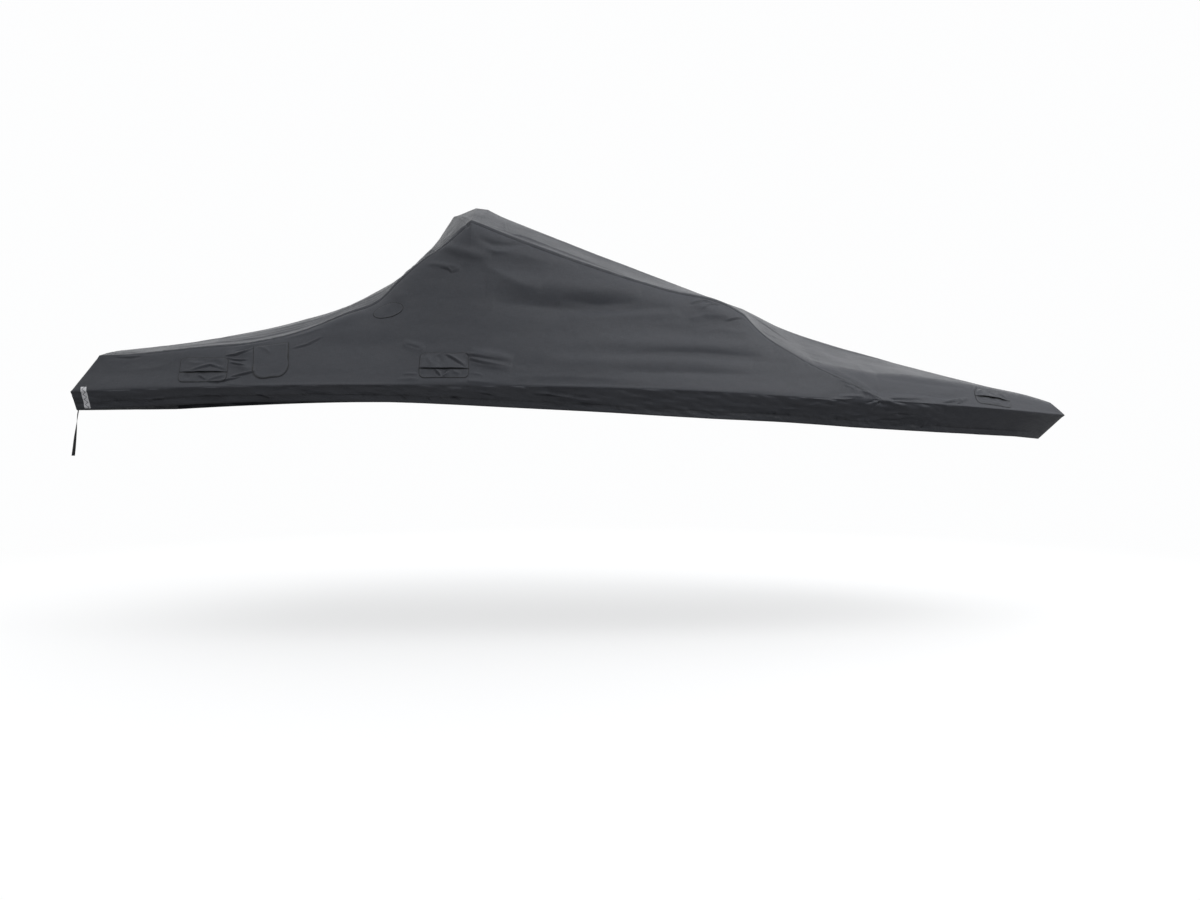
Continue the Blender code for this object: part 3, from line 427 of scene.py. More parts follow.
# The kinds of panel that a crease's first word stands for.
CREASED_KINDS = {
    "over": ("side", "fore", "aft", "skirt"),
    "side": ("side",),
    "skirt": ("skirt",),
    "fore": ("fore",),
    "top": ("fore", "aft"),
}

# The port side's copy of a crease starts where the starboard one does, and its end is moved by up to
# PORT_SHIFT along the boat and PORT_DRIFT up or down.
PORT_SHIFT = 0.030
PORT_DRIFT = 0.012

# A crease that is strong at its start comes up within this share of its length.
STRONG_START = 0.06

# Past its end the shoulder seam goes on as a soft bend. The change starts SOFT_BEFORE aft of the end
# and takes SOFT_OVER.
SOFT_BEFORE = 0.02
SOFT_OVER = 0.08


def station_marks():
    marks = {}
    total = 0
    for row in STATIONS:
        total += row[STEPS]
        marks[row[0]] = float(total)
    return marks


MARKS = station_marks()
LAST_MARK = MARKS["bow"]


# Working on arrays: s is any array of shares, and every function returns one of its shape.
def ease(s):
    s = np.clip(s, 0.0, 1.0)
    return s * s * (3.0 - 2.0 * s)


def hump(offset, width):
    """Bell curve, 1 at no offset."""
    return np.exp(-(offset / width) ** 2)


def stacked(*parts):
    """Points from their coordinates, each an array or a single number."""
    return np.stack(np.broadcast_arrays(*parts), axis=-1)


def line_x(station, column):
    station = min(max(station, 0.0), LAST_MARK)
    for before, after in zip(STATIONS, STATIONS[1:]):
        start = MARKS[before[0]]
        end = MARKS[after[0]]
        if station <= end:
            share = (station - start) / (end - start)
            return before[column] + (after[column] - before[column]) * share
    return STATIONS[-1][column]


def chord(rows, column, index):
    return (rows[index + 1][column] - rows[index][column]) / (rows[index + 1][0] - rows[index][0])


def middle_slope(rows, column, index):
    before = rows[index][0] - rows[index - 1][0]
    after = rows[index + 1][0] - rows[index][0]
    slope_before = chord(rows, column, index - 1)
    slope_after = chord(rows, column, index)
    return (slope_before * after + slope_after * before) / (before + after)


def is_corner(rows, index):
    return index in (0, len(rows) - 1) or rows[index][3]


def curve_value(rows, column, x):
    """Smooth cubic through the rows of a line, broken at its corners."""
    x = min(max(x, rows[0][0]), rows[-1][0])
    index = 0
    while index < len(rows) - 2 and x > rows[index + 1][0]:
        index += 1
    straight = chord(rows, column, index)
    start_slope = None if is_corner(rows, index) else middle_slope(rows, column, index)
    end_slope = None if is_corner(rows, index + 1) else middle_slope(rows, column, index + 1)
    if start_slope is None:
        start_slope = straight if end_slope is None else 1.5 * straight - 0.5 * end_slope
    if end_slope is None:
        end_slope = 1.5 * straight - 0.5 * start_slope
    span = rows[index + 1][0] - rows[index][0]
    share = (x - rows[index][0]) / span
    square = share * share
    cube = square * share
    value = rows[index][column] * (2.0 * cube - 3.0 * square + 1.0)
    value += rows[index + 1][column] * (3.0 * square - 2.0 * cube)
    value += span * start_slope * (cube - 2.0 * square + share)
    value += span * end_slope * (cube - square)
    return value


def line_point(rows, x):
    return np.array((x, max(curve_value(rows, 1, x), 0.0), curve_value(rows, 2, x)))


def line_at(line, station):
    if line == "crown":
        return line_point(CROWN, line_x(station, CROWN_X))
    if line == "hem":
        return line_point(HEM, line_x(station, HEM_X))
    if line == "edge" and station < MARKS["seam_end"]:
        return line_point(SHOULDER, line_x(station, SHOULDER_X))
    return line_point(RAIL, line_x(station, RAIL_X))


# The roof's "edge" is the shoulder seam as far as it runs, and the rail from there to the bow.
LINE_NAMES = ("crown", "edge", "rail", "hem")

# Stretches of the cover with small creases, and how much closer the rows of points are there.
CLOSE_ROWS = [(-2.10, -1.30, 1.6), (-0.50, 0.40, 1.8), (1.50, 1.95, 1.3), (1.95, 3.95, 1.7)]


def fine_stations():
    found = []
    for start in range(int(LAST_MARK)):
        lengths = [
            np.linalg.norm(line_at(line, start + 1.0) - line_at(line, float(start)))
            for line in LINE_NAMES
        ]
        middle = line_x(start + 0.5, RAIL_X)
        closer = max([1.0] + [share for low, high, share in CLOSE_ROWS if low < middle < high])
        count = max(2, math.ceil(max(lengths) * closer / SPACING))
        found += [start + index / count for index in range(count)]
    found.append(LAST_MARK)
    return found


FINE = fine_stations()
LINES = {line: np.array([line_at(line, s) for s in FINE]) for line in LINE_NAMES}
ROW_OF = {name: FINE.index(mark) for name, mark in MARKS.items()}


def run_lengths(points):
    """Length along a line of points, from its first."""
    steps = np.linalg.norm(np.diff(points, axis=0), axis=1)
    return np.concatenate(([0.0], np.cumsum(steps)))


def mirrored(points, side):
    return points * np.array((1.0, side, 1.0))


def table_values(rows, column, x):
    return np.interp(x, [row[0] for row in rows], [row[column] for row in rows])


def roof_fall(share, x):
    """Share of the fall from crown to edge, for shares across the roof at the crown's x."""
    breadth = table_values(ROOF_BREAKS, 1, x)
    drop = table_values(ROOF_BREAKS, 2, x)
    softness = table_values(ROOF_BREAKS, 3, x)

    def broken(s):
        s = np.abs(s)
        inner = s * drop / breadth
        outer = drop + (s - breadth) * (1.0 - drop) / (1.0 - breadth)
        return np.where(s < breadth, inner, outer)

    def rounded(s, width):
        width = np.minimum(width, 1.0 - s)
        total = 0.0
        for index in range(SLOPE_SAMPLES):
            total = total + broken(s + ((index + 0.5) / SLOPE_SAMPLES * 2.0 - 1.0) * width)
        return total / SLOPE_SAMPLES

    near_crown = np.maximum(softness, RIDGE_ROUNDING)
    width = near_crown + (softness - near_crown) * ease(share / RIDGE_REACH)
    top = rounded(np.zeros_like(share), near_crown)
    return (rounded(share, width) - top) / (1.0 - top)


# Distances of the first rows from a seam, which carry its lap and its stitching. In a narrow strip
# they are drawn in, so that the rows of its two seams take up no more than their share of it.
SEAM_ROWS = np.array((0.0, 0.0018, 0.0050, 0.0090, 0.0130, 0.0155, 0.0190, 0.0250, 0.0330, 0.0430))
NARROW_STRIP = 2.6 * SEAM_ROWS[-1]


def spread(lengths, count, lean=1.0):
    """Distances across a strip of each length, with the seam's rows at both its ends."""
    lengths = np.asarray(lengths)[:, None]
    near = SEAM_ROWS[None, :] * np.minimum(1.0, lengths / NARROW_STRIP)
    middle = (np.linspace(0.0, 1.0, count + 2) ** lean)[None, 1:-1]
    start = near[:, -1:]
    between = start + (lengths - 2.0 * start) * middle
    return np.concatenate((near, between, (lengths - near)[:, ::-1]), axis=1)


def lattice_noise(points, scale, seed):
    """Smooth noise from -1 to 1 at points, with a cell of the given size in each direction."""
    places = points / np.asarray(scale)
    cells = np.floor(places).astype(np.int64)
    inside = places - cells
    inside = inside * inside * inside * (inside * (inside * 6.0 - 15.0) + 10.0)
    total = 0.0
    # Large primes mix a corner's whole numbers and the seed into one even draw.
    for corner in range(8):
        step = np.array(((corner >> 2) & 1, (corner >> 1) & 1, corner & 1))
        cell = cells + step
        mixed = cell[..., 0] * 73856093 ^ cell[..., 1] * 19349663 ^ cell[..., 2] * 83492791
        mixed = (mixed ^ (seed * 2654435761)) & 0x7FFFFFFF
        mixed = ((mixed ^ (mixed >> 13)) * 1274126177) & 0x7FFFFFFF
        mixed = ((mixed ^ (mixed >> 16)) * 668265263) & 0x7FFFFFFF
        weight = np.prod(np.where(step == 1, inside, 1.0 - inside), axis=-1)
        total = total + weight * (mixed / 0x7FFFFFFF * 2.0 - 1.0)
    return total


def path_distance(places, path):
    """Signed distance from flat places to a path, and the share of the path beside each."""
    steps = np.diff(path, axis=0)
    lengths = np.linalg.norm(steps, axis=1)
    starts = run_lengths(path)
    best = np.full(places.shape[:-1], FAR)
    signed = np.full(places.shape[:-1], FAR)
    beside = np.zeros(places.shape[:-1])
    for index, (step, length) in enumerate(zip(steps, lengths)):
        away = places - path[index]
        share = np.clip((away @ step) / length ** 2, 0.0, 1.0)
        gap = away - share[..., None] * step
        distance = np.linalg.norm(gap, axis=-1)
        closer = distance < best
        turn = step[0] * away[..., 1] - step[1] * away[..., 0]
        best = np.where(closer, distance, best)
        signed = np.where(closer, np.where(turn < 0.0, -distance, distance), signed)
        beside = np.where(closer, (starts[index] + share * length) / starts[-1], beside)
    return signed, beside


def crest(offset):
    """Height of a crease beside its line: steep and close to it, then a long soft foot."""
    away = np.sqrt(offset ** 2 + 0.03)
    return np.exp(1.15 * (0.173 - away ** 1.35))


def crease_height(places, shape, width, rise, path, outward=False):
    """Height of one crease at flat places, dying out at both ends or strong at its start."""
    low = path.min(axis=0) - CREASE_REACH * width
    high = path.max(axis=0) + CREASE_REACH * width
    near = np.all((places > low) & (places < high), axis=-1)
    result = np.zeros(places.shape[:-1])
    if not near.any():
        return result
    signed, beside = path_distance(places[near], path)
    offset = signed / width
    if shape == "ridge":
        profile = crest(offset)
    elif shape == "groove":
        profile = -crest(offset)
    else:
        # A tuck is a ridge with a groove close along its right side.
        profile = crest((offset - 0.65) / 0.70) - 0.85 * crest((offset + 0.55) / 0.55)
    if outward:
        taper = ease(beside / STRONG_START) * (1.0 - beside) ** 1.2
    else:
        taper = np.sin(np.pi * beside) ** FOLD_TAPER
    result[near] = rise * profile * taper
    return result


def in_metres(path):
    """A crease's path as points, from its pairs of millimetres."""
    return np.reshape(path, (-1, 2)) / MILLIMETRES


def soft_folds(points, kind):
    """Main folds, the same as those of the solids."""
    seen = points[..., (0, 2)]
    total = np.zeros(points.shape[:-1])
    for panel, x_from, height_from, x_to, height_to, width, rise in FOLDS:
        if panel != kind:
            continue
        path = np.array(((x_from, height_from), (x_to, height_to)))
        signed, beside = path_distance(seen, path)
        taper = np.maximum(np.sin(np.pi * beside), 0.0) ** FOLD_TAPER
        total += rise * taper * hump(signed, width)
    return total


def fine_folds(points, kind, side, over):
    """Fine creases of one kind of panel on one side of the boat.

    A crease of both sides differs a little to port, by an amount that changes from row to row.
    """
    total = np.zeros(points.shape[:-1])
    letter = "s" if side < 0.0 else "p"
    for index, (words, width, rise, *path) in enumerate(CREASES):
        where, sides, shape, *out = words.split()
        if kind not in CREASED_KINDS[where] or (where == "over") != over or sides not in ("b", letter):
            continue
        places = points[..., (0, 2)]
        if where == "top":
            places = stacked(points[..., 0], np.abs(points[..., 1]))
        path = in_metres(path)
        strength = 1.0
        if side > 0.0 and sides == "b":
            shift = PORT_SHIFT * math.sin(index * 2.3)
            drift = PORT_DRIFT * math.sin(index * 1.7 + 1.0)
            strength = 0.85 + 0.30 * math.sin(index * 3.1)
            path = path + np.linspace(0.0, 1.0, len(path))[:, None] * np.array((shift, drift))
        if not out and path[-1][0] < path[0][0]:
            path = path[::-1]
        rise = rise / MILLIMETRES * strength
        height = crease_height(places, shape, width / MILLIMETRES, rise, path, bool(out))
        if where in ("over", "top"):
            height = np.where(points[..., 1] * side >= 0.0, height, 0.0)
        total += height
    return total


def unit(vectors):
    length = np.linalg.norm(vectors, axis=-1, keepdims=True)
    return vectors / np.maximum(length, TINY)


def grid_normals(points, outward):
    """Unit normals of a grid of points, on the side that outward faces."""
    along = np.gradient(points, axis=0)
    across = np.gradient(points, axis=1)
    found = np.cross(along, across)
    length = np.linalg.norm(found, axis=-1)
    found = unit(found)
    for row in range(len(points)):
        weak = length[row] < 1e-10
        if weak.any():
            source = row - 1 if row > 0 else row + 1
            found[row][weak] = found[source][weak]
    if (found @ np.asarray(outward, dtype=float)).sum() < 0.0:
        found = -found
    return found


class Cloth:
    """A panel as a grid of points, where each point lies on the flat cloth, and its seams.

    Each seam holds the name of its shared normals, every point's distance from it, the length along
    it beside the point, whether this panel laps over it, how far it is only a soft bend with no
    stitching, and the height of the padded edge beside it.
    """

    def __init__(self, name, kind, side, points, outward, laid):
        self.name = name
        self.kind = kind
        self.side = side
        self.points = points
        self.normals = grid_normals(points, outward)
        self.laid = laid
        self.seams = []

    def add_seam(self, key, distance, along, lap, soft=0.0, ridge=0.0):
        self.seams.append((key, distance, along, lap, soft, ridge))


# Columns and rows of points between the seams' own. A lean over 1 crowds them towards the rail.
SIDE_COLUMNS = 112
ROOF_COLUMNS = 128
SKIRT_ROWS = 26
SIDE_LEAN = 1.22

# The side panel is evened out along the boat over EVEN_REACH, sampled every EVEN_STEP. This comes in
# over RELAX_REACH below the shoulder seam and RAIL_REACH above the rail.
RELAX_REACH = 0.30
RAIL_REACH = 0.08
EVEN_REACH = 0.16
EVEN_STEP = 0.0025

# Height of the padded edge that runs along the roof beside the shoulder seam, at x. It is full at
# PADDED_RISE from the seam and dies out over PADDED_FALL.
PADDED_X = (-2.50, -2.20, -1.20, -0.50, -0.10, 0.10, 1.60, 1.85, 2.10, 2.40)
PADDED_HEIGHT = (0.000, 0.006, 0.009, 0.012, 0.010, 0.015, 0.015, 0.012, 0.004, 0.000)
PADDED_RISE = 0.018
PADDED_FALL = 0.110

# How far the roof's middle hangs below the solids between what holds it up: rows of x and depth.
# It reaches that depth at SAG_REACH from the edges.
SAGS = (
    (-2.66, 0.0),
    (-2.50, 0.0),
    (-2.30, 0.006),
    (-2.00, 0.017),
    (-1.60, 0.016),
    (-1.30, 0.017),
    (-1.10, 0.021),
    (-0.50, 0.019),
    (-0.40, 0.010),
    (-0.30, 0.0),
    (0.30, 0.003),
    (0.90, 0.010),
    (1.24, 0.013),
    (1.90, 0.011),
    (2.07, 0.004),
    (3.00, 0.003),
    (3.60, 0.0),
)
SAG_REACH = 0.45

# The side panel's rounding below the shoulder seam: its height at x, and how far down it is fullest.
# It comes in over ROUNDING_CLEAR above the rail.
ROUNDING_X = (-2.50, -2.35, -1.40, -0.90, 0.20, 1.60, 2.00, 2.50, 2.70)
ROUNDING = (0.0, 0.003, 0.008, 0.017, 0.018, 0.021, 0.012, 0.004, 0.0)
ROUNDING_REACH = 0.115
ROUNDING_CLEAR = 0.25


def distance_from(points, edge):
    """Distance of each grid point from the point of an edge on its own row or column."""
    return np.linalg.norm(points - edge, axis=-1)


def relaxed(points, share):
    """A grid's points evened out along the boat over EVEN_REACH, by a share of their own."""
    offsets = np.arange(-3.0 * EVEN_REACH, 3.0 * EVEN_REACH + 1e-9, EVEN_STEP)
    weights = hump(offsets, EVEN_REACH)
    weights = weights / weights.sum()
    values = points.copy()
    for column in range(points.shape[1]):
        x = points[:, column, 0]
        even = np.linspace(x[0], x[-1], int(math.ceil((x[-1] - x[0]) / EVEN_STEP)) + 1)
        for axis in (1, 2):
            line = np.interp(even, x, points[:, column, axis])
            padded = np.pad(line, len(weights) // 2, mode="reflect", reflect_type="odd")
            smooth = np.convolve(padded, weights, mode="valid")
            values[:, column, axis] += share[:, column] * np.interp(x, even, smooth - line)
    return values


def lay_side(label, side):
    last = ROW_OF["seam_end"]
    low = LINES["rail"][: last + 1]
    high = LINES["edge"][: last + 1]
    lengths = np.linalg.norm(high - low, axis=1)
    places = spread(lengths, SIDE_COLUMNS, SIDE_LEAN)
    up = places / np.maximum(lengths, 1e-9)[:, None]
    up[-1] = np.linspace(0.0, 1.0, up.shape[1])
    points = low[:, None, :] + (high - low)[:, None, :] * up[..., None]
    points[..., 1] -= SIDE_SAG * lengths[:, None] * 4.0 * up * (1.0 - up)
    below = lengths[:, None] - places
    points = mirrored(relaxed(points, ease(below / RELAX_REACH) * ease(places / RAIL_REACH)), side)
    along = run_lengths(low)[:, None]
    cloth = Cloth("side_panel_" + label, "side", side, points, (0.0, side, 0.1), stacked(along, places))
    cloth.add_seam(("rail", side), places, along, False, 1.0)
    cloth.add_seam(("shoulder", side), below, run_lengths(high)[:, None], False)
    cloth.add_seam(("corner", side), distance_from(points, points[:1]), places, False, 1.0)
    cloth.ups = up[0]
    return cloth


def lay_roof(name, kind, start, end):
    rows = slice(ROW_OF[start], ROW_OF[end] + 1)
    crown = LINES["crown"][rows]
    edge = LINES["edge"][rows]
    breadth = edge[:, 1]
    places = spread(2.0 * breadth, ROOF_COLUMNS)
    across = places / np.maximum(breadth, 1e-9)[:, None] - 1.0
    if breadth[-1] < 1e-6:
        across[-1] = across[-2]
    share = np.abs(across)
    fall = roof_fall(share, crown[:, 0][:, None])
    x = crown[:, 0][:, None] + (edge[:, 0] - crown[:, 0])[:, None] * share
    z = crown[:, 2][:, None] + (edge[:, 2] - crown[:, 2])[:, None] * fall
    points = stacked(x, breadth[:, None] * across, z)
    laid = stacked(run_lengths(crown)[:, None], places)
    cloth = Cloth(name, kind, 0.0, points, (0.0, 0.0, 1.0), laid)
    along = run_lengths(LINES["edge"])[rows][:, None]
    beyond = edge[:, 0] - LINES["edge"][ROW_OF["seam_end"], 0]
    soft = ease((beyond + SOFT_BEFORE) / SOFT_OVER)[:, None]
    ridge = np.interp(edge[:, 0], PADDED_X, PADDED_HEIGHT)[:, None]
    cloth.add_seam(("edge", STARBOARD), places, along, True, soft, ridge)
    cloth.add_seam(("edge", PORT), 2.0 * breadth[:, None] - places, along, True, soft, ridge)
    if kind == "aft":
        cloth.add_seam(("tower", 0.0), distance_from(points, points[-1:]), places[-1][None], False)
        cloth.add_seam(("stern_top", 0.0), distance_from(points, points[:1]), places[0][None], True)
        cloth.acrosses = across[0]
    else:
        cloth.add_seam(("tower", 0.0), distance_from(points, points[:1]), places[0][None], True)
    return cloth


def lay_skirt(label, side):
    rail = LINES["rail"]
    hem = LINES["hem"]
    depths = np.linalg.norm(hem - rail, axis=1)[:, None]
    near = np.broadcast_to(SEAM_ROWS, (len(rail), len(SEAM_ROWS)))
    rest = np.linspace(0.0, 1.0, SKIRT_ROWS + 1)[1:]
    places = np.concatenate((near, SEAM_ROWS[-1] + (depths - SEAM_ROWS[-1]) * rest), axis=1)
    down = places / depths
    points = mirrored(rail[:, None, :] + (hem - rail)[:, None, :] * down[..., None], side)
    along = run_lengths(rail)[:, None]
    cloth = Cloth("skirt_" + label, "skirt", side, points, (0.3, side, -0.2), stacked(along, places))
    cloth.add_seam(("rail", side), places, along, False, 1.0)
    cloth.add_seam(("skirt_corner", side), distance_from(points, points[:1]), places, False, 1.0)
    cloth.add_seam(("bow", 0.0), distance_from(points, points[-1:]), places, False, 1.0)
    cloth.hem_gap = depths - places
    cloth.downs = down[0]
    return cloth


def lay_stern(acrosses, ups, downs):
    def transom(corner):
        return stacked(corner[0] - TRANSOM_BULGE * (1.0 - acrosses ** 2), corner[1] * acrosses, corner[2])

    rail = LINES["rail"][0]
    edge = LINES["edge"][0]
    crown = LINES["crown"][0]
    share = np.abs(acrosses)
    fall = roof_fall(share, np.full_like(share, crown[0]))
    x = crown[0] + (edge[0] - crown[0]) * share
    top = stacked(x, edge[1] * acrosses, crown[2] + (edge[2] - crown[2]) * fall)
    low = transom(rail)
    bottom = transom(LINES["hem"][0])
    along = run_lengths(low)[:, None]
    points = low[:, None, :] + (top - low)[:, None, :] * ups[None, :, None]
    height = np.linalg.norm(edge - rail)
    points[..., 1] -= acrosses[:, None] * SIDE_SAG * height * 4.0 * ups * (1.0 - ups)
    tall = np.linalg.norm(top - low, axis=1)[:, None] * ups
    panel = Cloth("stern_panel", "stern", 0.0, points, (-1.0, 0.0, 0.1), stacked(along, tall))
    panel.add_seam(("stern_rail", 0.0), tall, along, False, 1.0)
    panel.add_seam(("stern_top", 0.0), tall[:, -1:] - tall, along, False)
    points = low[:, None, :] + (bottom - low)[:, None, :] * downs[None, :, None]
    deep = np.linalg.norm(bottom - low, axis=1)[:, None] * downs
    skirt = Cloth("stern_skirt", "stern", 0.0, points, (-1.0, 0.0, -0.1), stacked(along, deep))
    skirt.add_seam(("stern_rail", 0.0), deep, along, False, 1.0)
    for cloth, name, heights in ((panel, "corner", tall), (skirt, "skirt_corner", deep)):
        for side, column in ((STARBOARD, 0), (PORT, -1)):
            distance = distance_from(cloth.points, cloth.points[column][None])
            cloth.add_seam((name, side), distance, heights[column][None], False, 1.0)
    skirt.hem_gap = deep[:, -1:] - deep
    return panel, skirt


def shared_normals(cloths):
    """Normals that two panels share along each seam, so that folds can cross it unbroken."""
    aft = cloths["roof_aft"].normals
    fore = cloths["roof_fore"].normals
    stern = cloths["stern_panel"].normals
    under = cloths["stern_skirt"].normals
    end = ROW_OF["seam_end"]
    turn = ROW_OF["tower_rear"]
    shared = {("tower", 0.0): unit(aft[-1] + fore[0])}
    shared[("stern_top", 0.0)] = unit(stern[:, -1] + aft[0])
    shared[("stern_rail", 0.0)] = unit(stern[:, 0] + under[:, 0])
    for label, side in SIDES:
        panel = cloths["side_panel_" + label].normals
        skirt = cloths["skirt_" + label].normals
        column = 0 if side < 0.0 else -1
        roof = np.concatenate((aft[:-1, column], fore[:, column]))
        shoulder = unit(panel[:, -1] + roof[: end + 1])
        rail = unit(skirt[:, 0] + np.concatenate((panel[:, 0], roof[end + 1 :])))
        shoulder[turn] = unit(shoulder[turn])
        shared[("shoulder", side)] = shoulder
        shared[("rail", side)] = rail
        shared[("edge", side)] = np.concatenate((shoulder, rail[end + 1 :]))
        shared[("corner", side)] = unit(panel[0] + stern[column])
        shared[("skirt_corner", side)] = unit(skirt[0] + under[column])
    bow = unit(cloths["skirt_stbd"].normals[-1] + cloths["skirt_port"].normals[-1])
    bow[:, 1] = 0.0
    shared[("bow", 0.0)] = unit(bow)
    return shared


def spread_normals(cloth, key, shared):
    """Shared normals of one seam, laid over the whole grid of a panel."""
    name = key[0]
    values = shared[key]
    if cloth.kind in ("fore", "aft") and name == "edge":
        start = 0 if cloth.kind == "aft" else ROW_OF["tower_rear"]
        values = values[start : start + len(cloth.points)]
    if name in ("rail", "shoulder", "edge"):
        values = values[: len(cloth.points)]
        return np.broadcast_to(values[:, None, :], cloth.points.shape)
    if name in ("stern_top", "stern_rail") and cloth.kind == "stern":
        return np.broadcast_to(values[:, None, :], cloth.points.shape)
    if name == "bow":
        values = np.broadcast_to(values[-1:], cloth.points.shape[1:])
    return np.broadcast_to(values[None, :, :], cloth.points.shape)


# How far from a seam its shared normals reach, how far from it folds come in again, and how far from
# a corner, where seams meet, the cloth keeps to its lines.
SEAM_BLEND = 0.025
SEAM_FOLD_FADE = 0.026
CORNER_FADE = 0.030

# A panel that laps over another stands LAP off it, from LAP_EDGE to LAP_END from the seam, and
# comes down over LAP_FALL.
LAP = 0.0017
LAP_EDGE = 0.0018
LAP_END = 0.0135
LAP_FALL = 0.0020

# Puckers beside the stitching: their height, the distances over which they rise and die out, and
# their cells along the seam. They are stronger and weaker by turns, in stretches of PATCHY_CELL.
SEAM_PUCKER = 0.0020
PUCKER_RISE = 0.012
PUCKER_FALL = 0.034
PUCKER_CELL = 0.034
SMALL_PUCKER_CELL = 0.015
PATCHY_CELL = 0.22

# Half widths of the painted shade line in a seam, which stands for the shadow in its fold, of the
# paler strip that is worn beside it, and of the painted shade line at the edge of a hem.
SEAM_SHADE = 0.0030
SEAM_WEAR = 0.018
HEM_SHADE = 0.0070

# A soft bend takes the place of a sharp edge out to BEND_REACH from it, and cuts it by BEND_DEPTH.
BEND_REACH = 0.011
BEND_DEPTH = 0.0026

# Slack of the cloth. A wave's height, its cell along the boat, across it and up, and its seed.
UPRIGHT_WAVE = (0.0042, (0.75, 0.60, 0.13), 21)
ROOF_WAVE = (0.0042, (0.60, 0.34, 0.30), 21)
SMALL_WAVES = ((0.0016, (0.24, 0.20, 0.075), 22), (0.00055, (0.070, 0.060, 0.028), 23))

# The hem: the radius of its rolled edge, the depth of its casing, how far that is drawn in, and the
# groove of its stitching. GATHERS are the puckers along the casing, out to GATHER_REACH from it, and
# DRAWN the slanting folds of the whole skirt: the cell along the hem, the height and the seed.
HEMMED = ("skirt_stbd", "skirt_port", "stern_skirt")
HEM_RADIUS = 0.0035
HEM_CASING = 0.045
CASING_TUCK = 0.0130
CASING_GROOVE = 0.0024
CASING_STITCH = 0.0030
GATHERS = ((0.055, 0.0075, 31), (0.024, 0.0048, 32), (0.012, 0.0014, 33))
DRAWN = ((0.110, 0.0075, 36), (0.045, 0.0042, 37))
GATHER_REACH = 0.022

# The hem isn't drawn in within BOW_CLEAR of the bow, and this comes in over BOW_FADE aft of that.
# Forward of CALM_X its puckers keep CALM_SHARE of their height, and the rest comes in over CALM_FADE.
BOW_CLEAR = 0.06
BOW_FADE = 0.30
CALM_X = 3.60
CALM_FADE = 0.70
CALM_SHARE = 0.25

# A point on the seam map this far out shows no stitches.
NO_STITCH = 1.5


class Dress:
    """What gathers on a panel as it is dressed: its relief at seams, and what its material reads."""

    def __init__(self, cloth):
        shape = cloth.points.shape[:2]
        self.shape = shape
        self.normals = cloth.normals.copy()
        self.fade = np.ones(shape)
        self.relief = np.zeros(shape)
        self.shade = np.zeros(shape)
        self.wear = np.zeros(shape)
        self.nearest = np.full(shape, FAR)
        self.seam_along = np.zeros(shape)
        self.seam_off = np.zeros(shape)

    def stitch(self, distance, along, off, where=True):
        """Let the places nearest to this row of stitching read their seam map from it.

        An "off" of 1 puts them beyond the stitches, so that none show.
        """
        closer = (distance < self.nearest) & where
        self.nearest = np.where(closer, distance, self.nearest)
        self.seam_along = np.where(closer, along, self.seam_along)
        self.seam_off = np.where(closer, off, self.seam_off)

    def shade_at(self, value):
        self.shade = np.maximum(self.shade, value)

    def sew(self, index, seam, spread_out):
        """Lap, padding, pucker and soft bend of one seam. "spread_out" holds its shared normals."""
        _, distance, along, lap, soft, ridge = seam
        distance = np.broadcast_to(distance, self.shape)
        along = np.broadcast_to(along, self.shape)
        sewn = 1.0 - np.broadcast_to(soft, self.shape)
        weight = (1.0 - ease(distance / SEAM_BLEND))[..., None]
        self.normals = self.normals * (1.0 - weight) + spread_out * weight
        self.fade = self.fade * ease(distance / SEAM_FOLD_FADE)
        self.relief -= (1.0 - sewn) * BEND_DEPTH * np.clip(1.0 - distance / BEND_REACH, 0.0, 1.0) ** 2
        if lap:
            falling = 1.0 - ease((distance - LAP_END) / LAP_FALL)
            self.relief += sewn * LAP * ease(distance / LAP_EDGE) * falling
            beyond = np.maximum(distance - PADDED_RISE, 0.0)
            self.relief += ridge * ease(distance / PADDED_RISE) * np.exp(-beyond / PADDED_FALL)
        # Painted shade: a dark line along the seam, where its fold lies in shadow.
        self.shade_at(sewn * hump(distance, SEAM_SHADE))
        self.wear = np.maximum(self.wear, sewn * hump(distance, SEAM_WEAR))
        beside = stacked(along, distance * 0.3, index * 7.0)
        pucker = lattice_noise(beside, (PUCKER_CELL, 0.05, 1.0), 11)
        pucker = pucker + 0.6 * lattice_noise(beside, (SMALL_PUCKER_CELL, 0.05, 1.0), 12)
        patchy = 0.5 + 0.5 * lattice_noise(beside, (PATCHY_CELL, 9.0, 1.0), 13)
        rumple = sewn * SEAM_PUCKER * patchy * pucker
        self.relief += rumple * ease(distance / PUCKER_RISE) * hump(distance, PUCKER_FALL)
        self.stitch(distance, along, 0.0 if lap else 1.0, sewn > 0.5)


def folded(cloth, fade):
    """Height of the folds and creases of a panel, each side of the boat with its own."""
    points = cloth.points
    height = np.zeros(points.shape[:2])
    for _, side in SIDES:
        if cloth.side not in (0.0, side):
            continue
        mine = 1.0
        centre = 1.0
        if cloth.side != side:
            mine = np.where(points[..., 1] * side > 0.0, 1.0, 0.0)
            centre = ease(np.abs(points[..., 1]) / 0.04)
        height += mine * fade * centre * soft_folds(points, cloth.kind)
        height += mine * fade * centre * fine_folds(points, cloth.kind, side, False)
        height += mine * fine_folds(points, cloth.kind, side, True)
    return height


